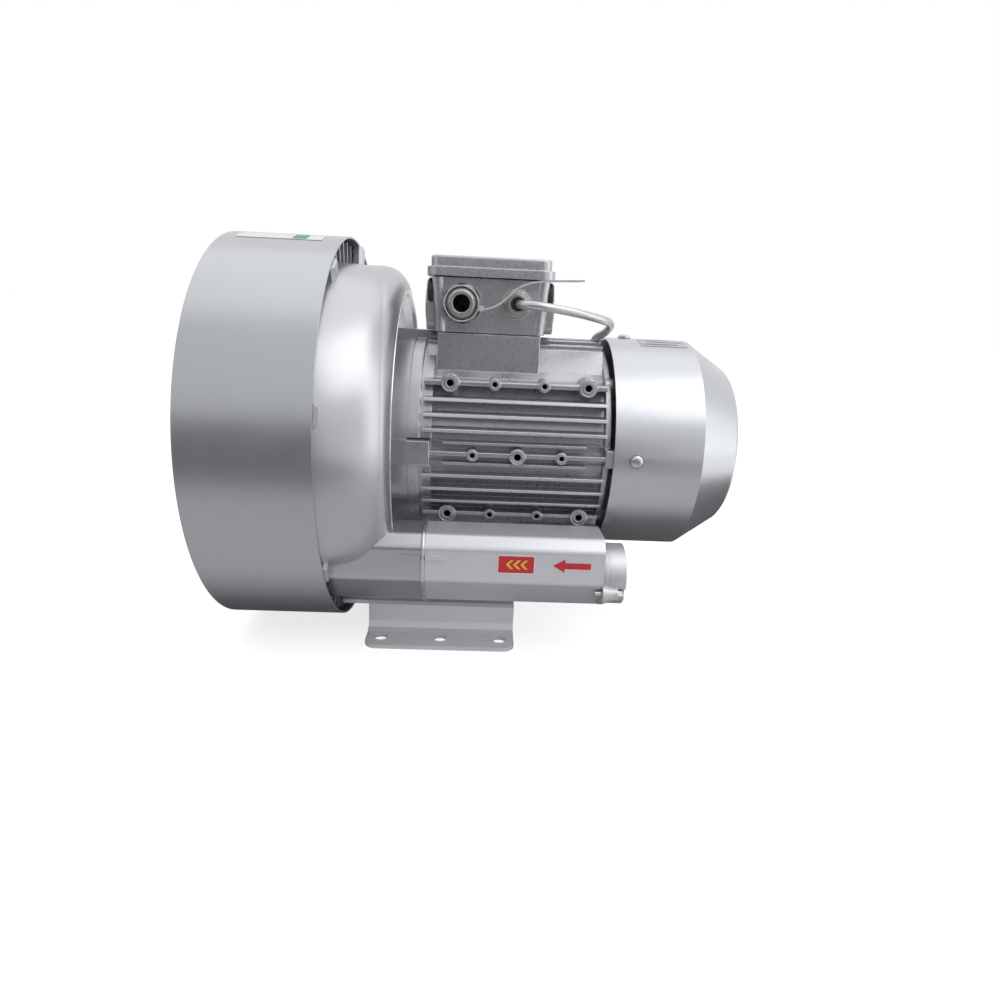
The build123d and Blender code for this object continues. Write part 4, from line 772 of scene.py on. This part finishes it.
def pale_floor():
    """White floor just below the foot, which shows soft shadows."""
    reach, drop, glow_strength = 12, 0.0002, 0.74
    finish, tree, shader = new_finish("pale_floor")
    tree.links.new(tones(tree, grain(tree, 3, 2), (0.60, 0.60, 0.605), (0.64, 0.64, 0.64)),
                   shader.inputs["Base Color"])
    shader.inputs["Roughness"].default_value = 0.8
    shader.inputs["Specular IOR Level"].default_value = 0.2
    glow = tree.nodes.new("ShaderNodeEmission")
    strength = tree.nodes.new("ShaderNodeMath")
    strength.operation = "MULTIPLY"
    strength.inputs[1].default_value = glow_strength
    tree.links.new(seen_rays(tree), strength.inputs[0])
    tree.links.new(strength.outputs["Value"], glow.inputs["Strength"])
    both = tree.nodes.new("ShaderNodeAddShader")
    tree.links.new(shader.outputs["BSDF"], both.inputs[0])
    tree.links.new(glow.outputs["Emission"], both.inputs[1])
    tree.links.new(both.outputs["Shader"], tree.nodes["Material Output"].inputs["Surface"])
    mesh = bmesh.new()
    bmesh.ops.create_grid(mesh, x_segments=1, y_segments=1, size=reach)
    bmesh.ops.translate(mesh, vec=(0, 0, -drop), verts=mesh.verts)
    stage_object("floor", mesh, finish)


def stage_object(name, mesh, finish):
    """Object of the stage, which is no piece of the machine."""
    data = bpy.data.meshes.new(name)
    mesh.to_mesh(data)
    mesh.free()
    data.materials.append(finish)
    prop = bpy.data.objects.new(name, data)
    bpy.context.scene.collection.objects.link(prop)
    return prop


def soft_box(name, place, aim, width, height, power):
    """Lamp behind a white cloth, turned to the place that it aims at."""
    lamp = bpy.data.lights.new(name, "AREA")
    lamp.shape = "RECTANGLE"
    lamp.size, lamp.size_y = width, height
    lamp.energy = power
    box = bpy.data.objects.new(name, lamp)
    box.location = place
    box.rotation_mode = "QUATERNION"
    box.rotation_quaternion = (Vector(aim) - Vector(place)).to_track_quat("-Z", "Y")
    bpy.context.scene.collection.objects.link(box)


def dark_surround():
    """Dark cards round the front of the machine, seen only as soft bands in the metal."""
    finish = bpy.data.materials.new("dark_card")
    finish.use_nodes = True
    tree = finish.node_tree
    tree.nodes.remove(tree.nodes["Principled BSDF"])
    along = tree.nodes.new("ShaderNodeSeparateXYZ")
    tree.links.new(tree.nodes.new("ShaderNodeTexCoord").outputs["Object"], along.inputs["Vector"])
    glow = tree.nodes.new("ShaderNodeEmission")
    band = tree.nodes.new("ShaderNodeValToRGB")
    reach = card_back - card_front
    for number, (place, tone) in enumerate(card_tones):
        share = (place - card_front) / reach
        if number < 2:
            stop = band.color_ramp.elements[number]
            stop.position = share
        else:
            stop = band.color_ramp.elements.new(share)
        stop.color = (tone, tone, tone * 1.03, 1)
    tree.links.new(between(tree, along.outputs["Y"], 0.0, 1.0, card_front, card_back), band.inputs["Fac"])
    tree.links.new(band.outputs["Color"], glow.inputs["Color"])
    tree.links.new(glow.outputs["Emission"], tree.nodes["Material Output"].inputs["Surface"])
    mesh = bmesh.new()
    above_floor = 0.0003
    near = [mesh.verts.new((x, card_back, above_floor)) for x in (card_left, card_right)]
    edge = mesh.edges.new(near)
    for step in ((0, card_front - card_back, 0), (0, 0, card_height)):
        grown = bmesh.ops.extrude_edge_only(mesh, edges=[edge])["geom"]
        far = [v for v in grown if isinstance(v, bmesh.types.BMVert)]
        bmesh.ops.translate(mesh, vec=step, verts=far)
        edge = [e for e in grown if isinstance(e, bmesh.types.BMEdge) and all(v in far for v in e.verts)][0]
    card = stage_object("dark_surround", mesh, finish)
    card.visible_camera = False
    card.visible_diffuse = False
    card.visible_shadow = False


pale_world()
pale_floor()
dark_surround()
soft_box("overhead_box", (0.0, 0.2, 2.0), (0.0, 0, 0.2), width=2.4, height=1.8, power=7.5)
soft_box("window_box", (0.85, -0.75, 1.45), (0.15, 0, 0.25), width=1.3, height=1.1, power=7.2)
soft_box("side_window", (1.4, -0.40, 0.60), (-0.04, -0.15, 0.2), width=0.8, height=1.1, power=2.7)
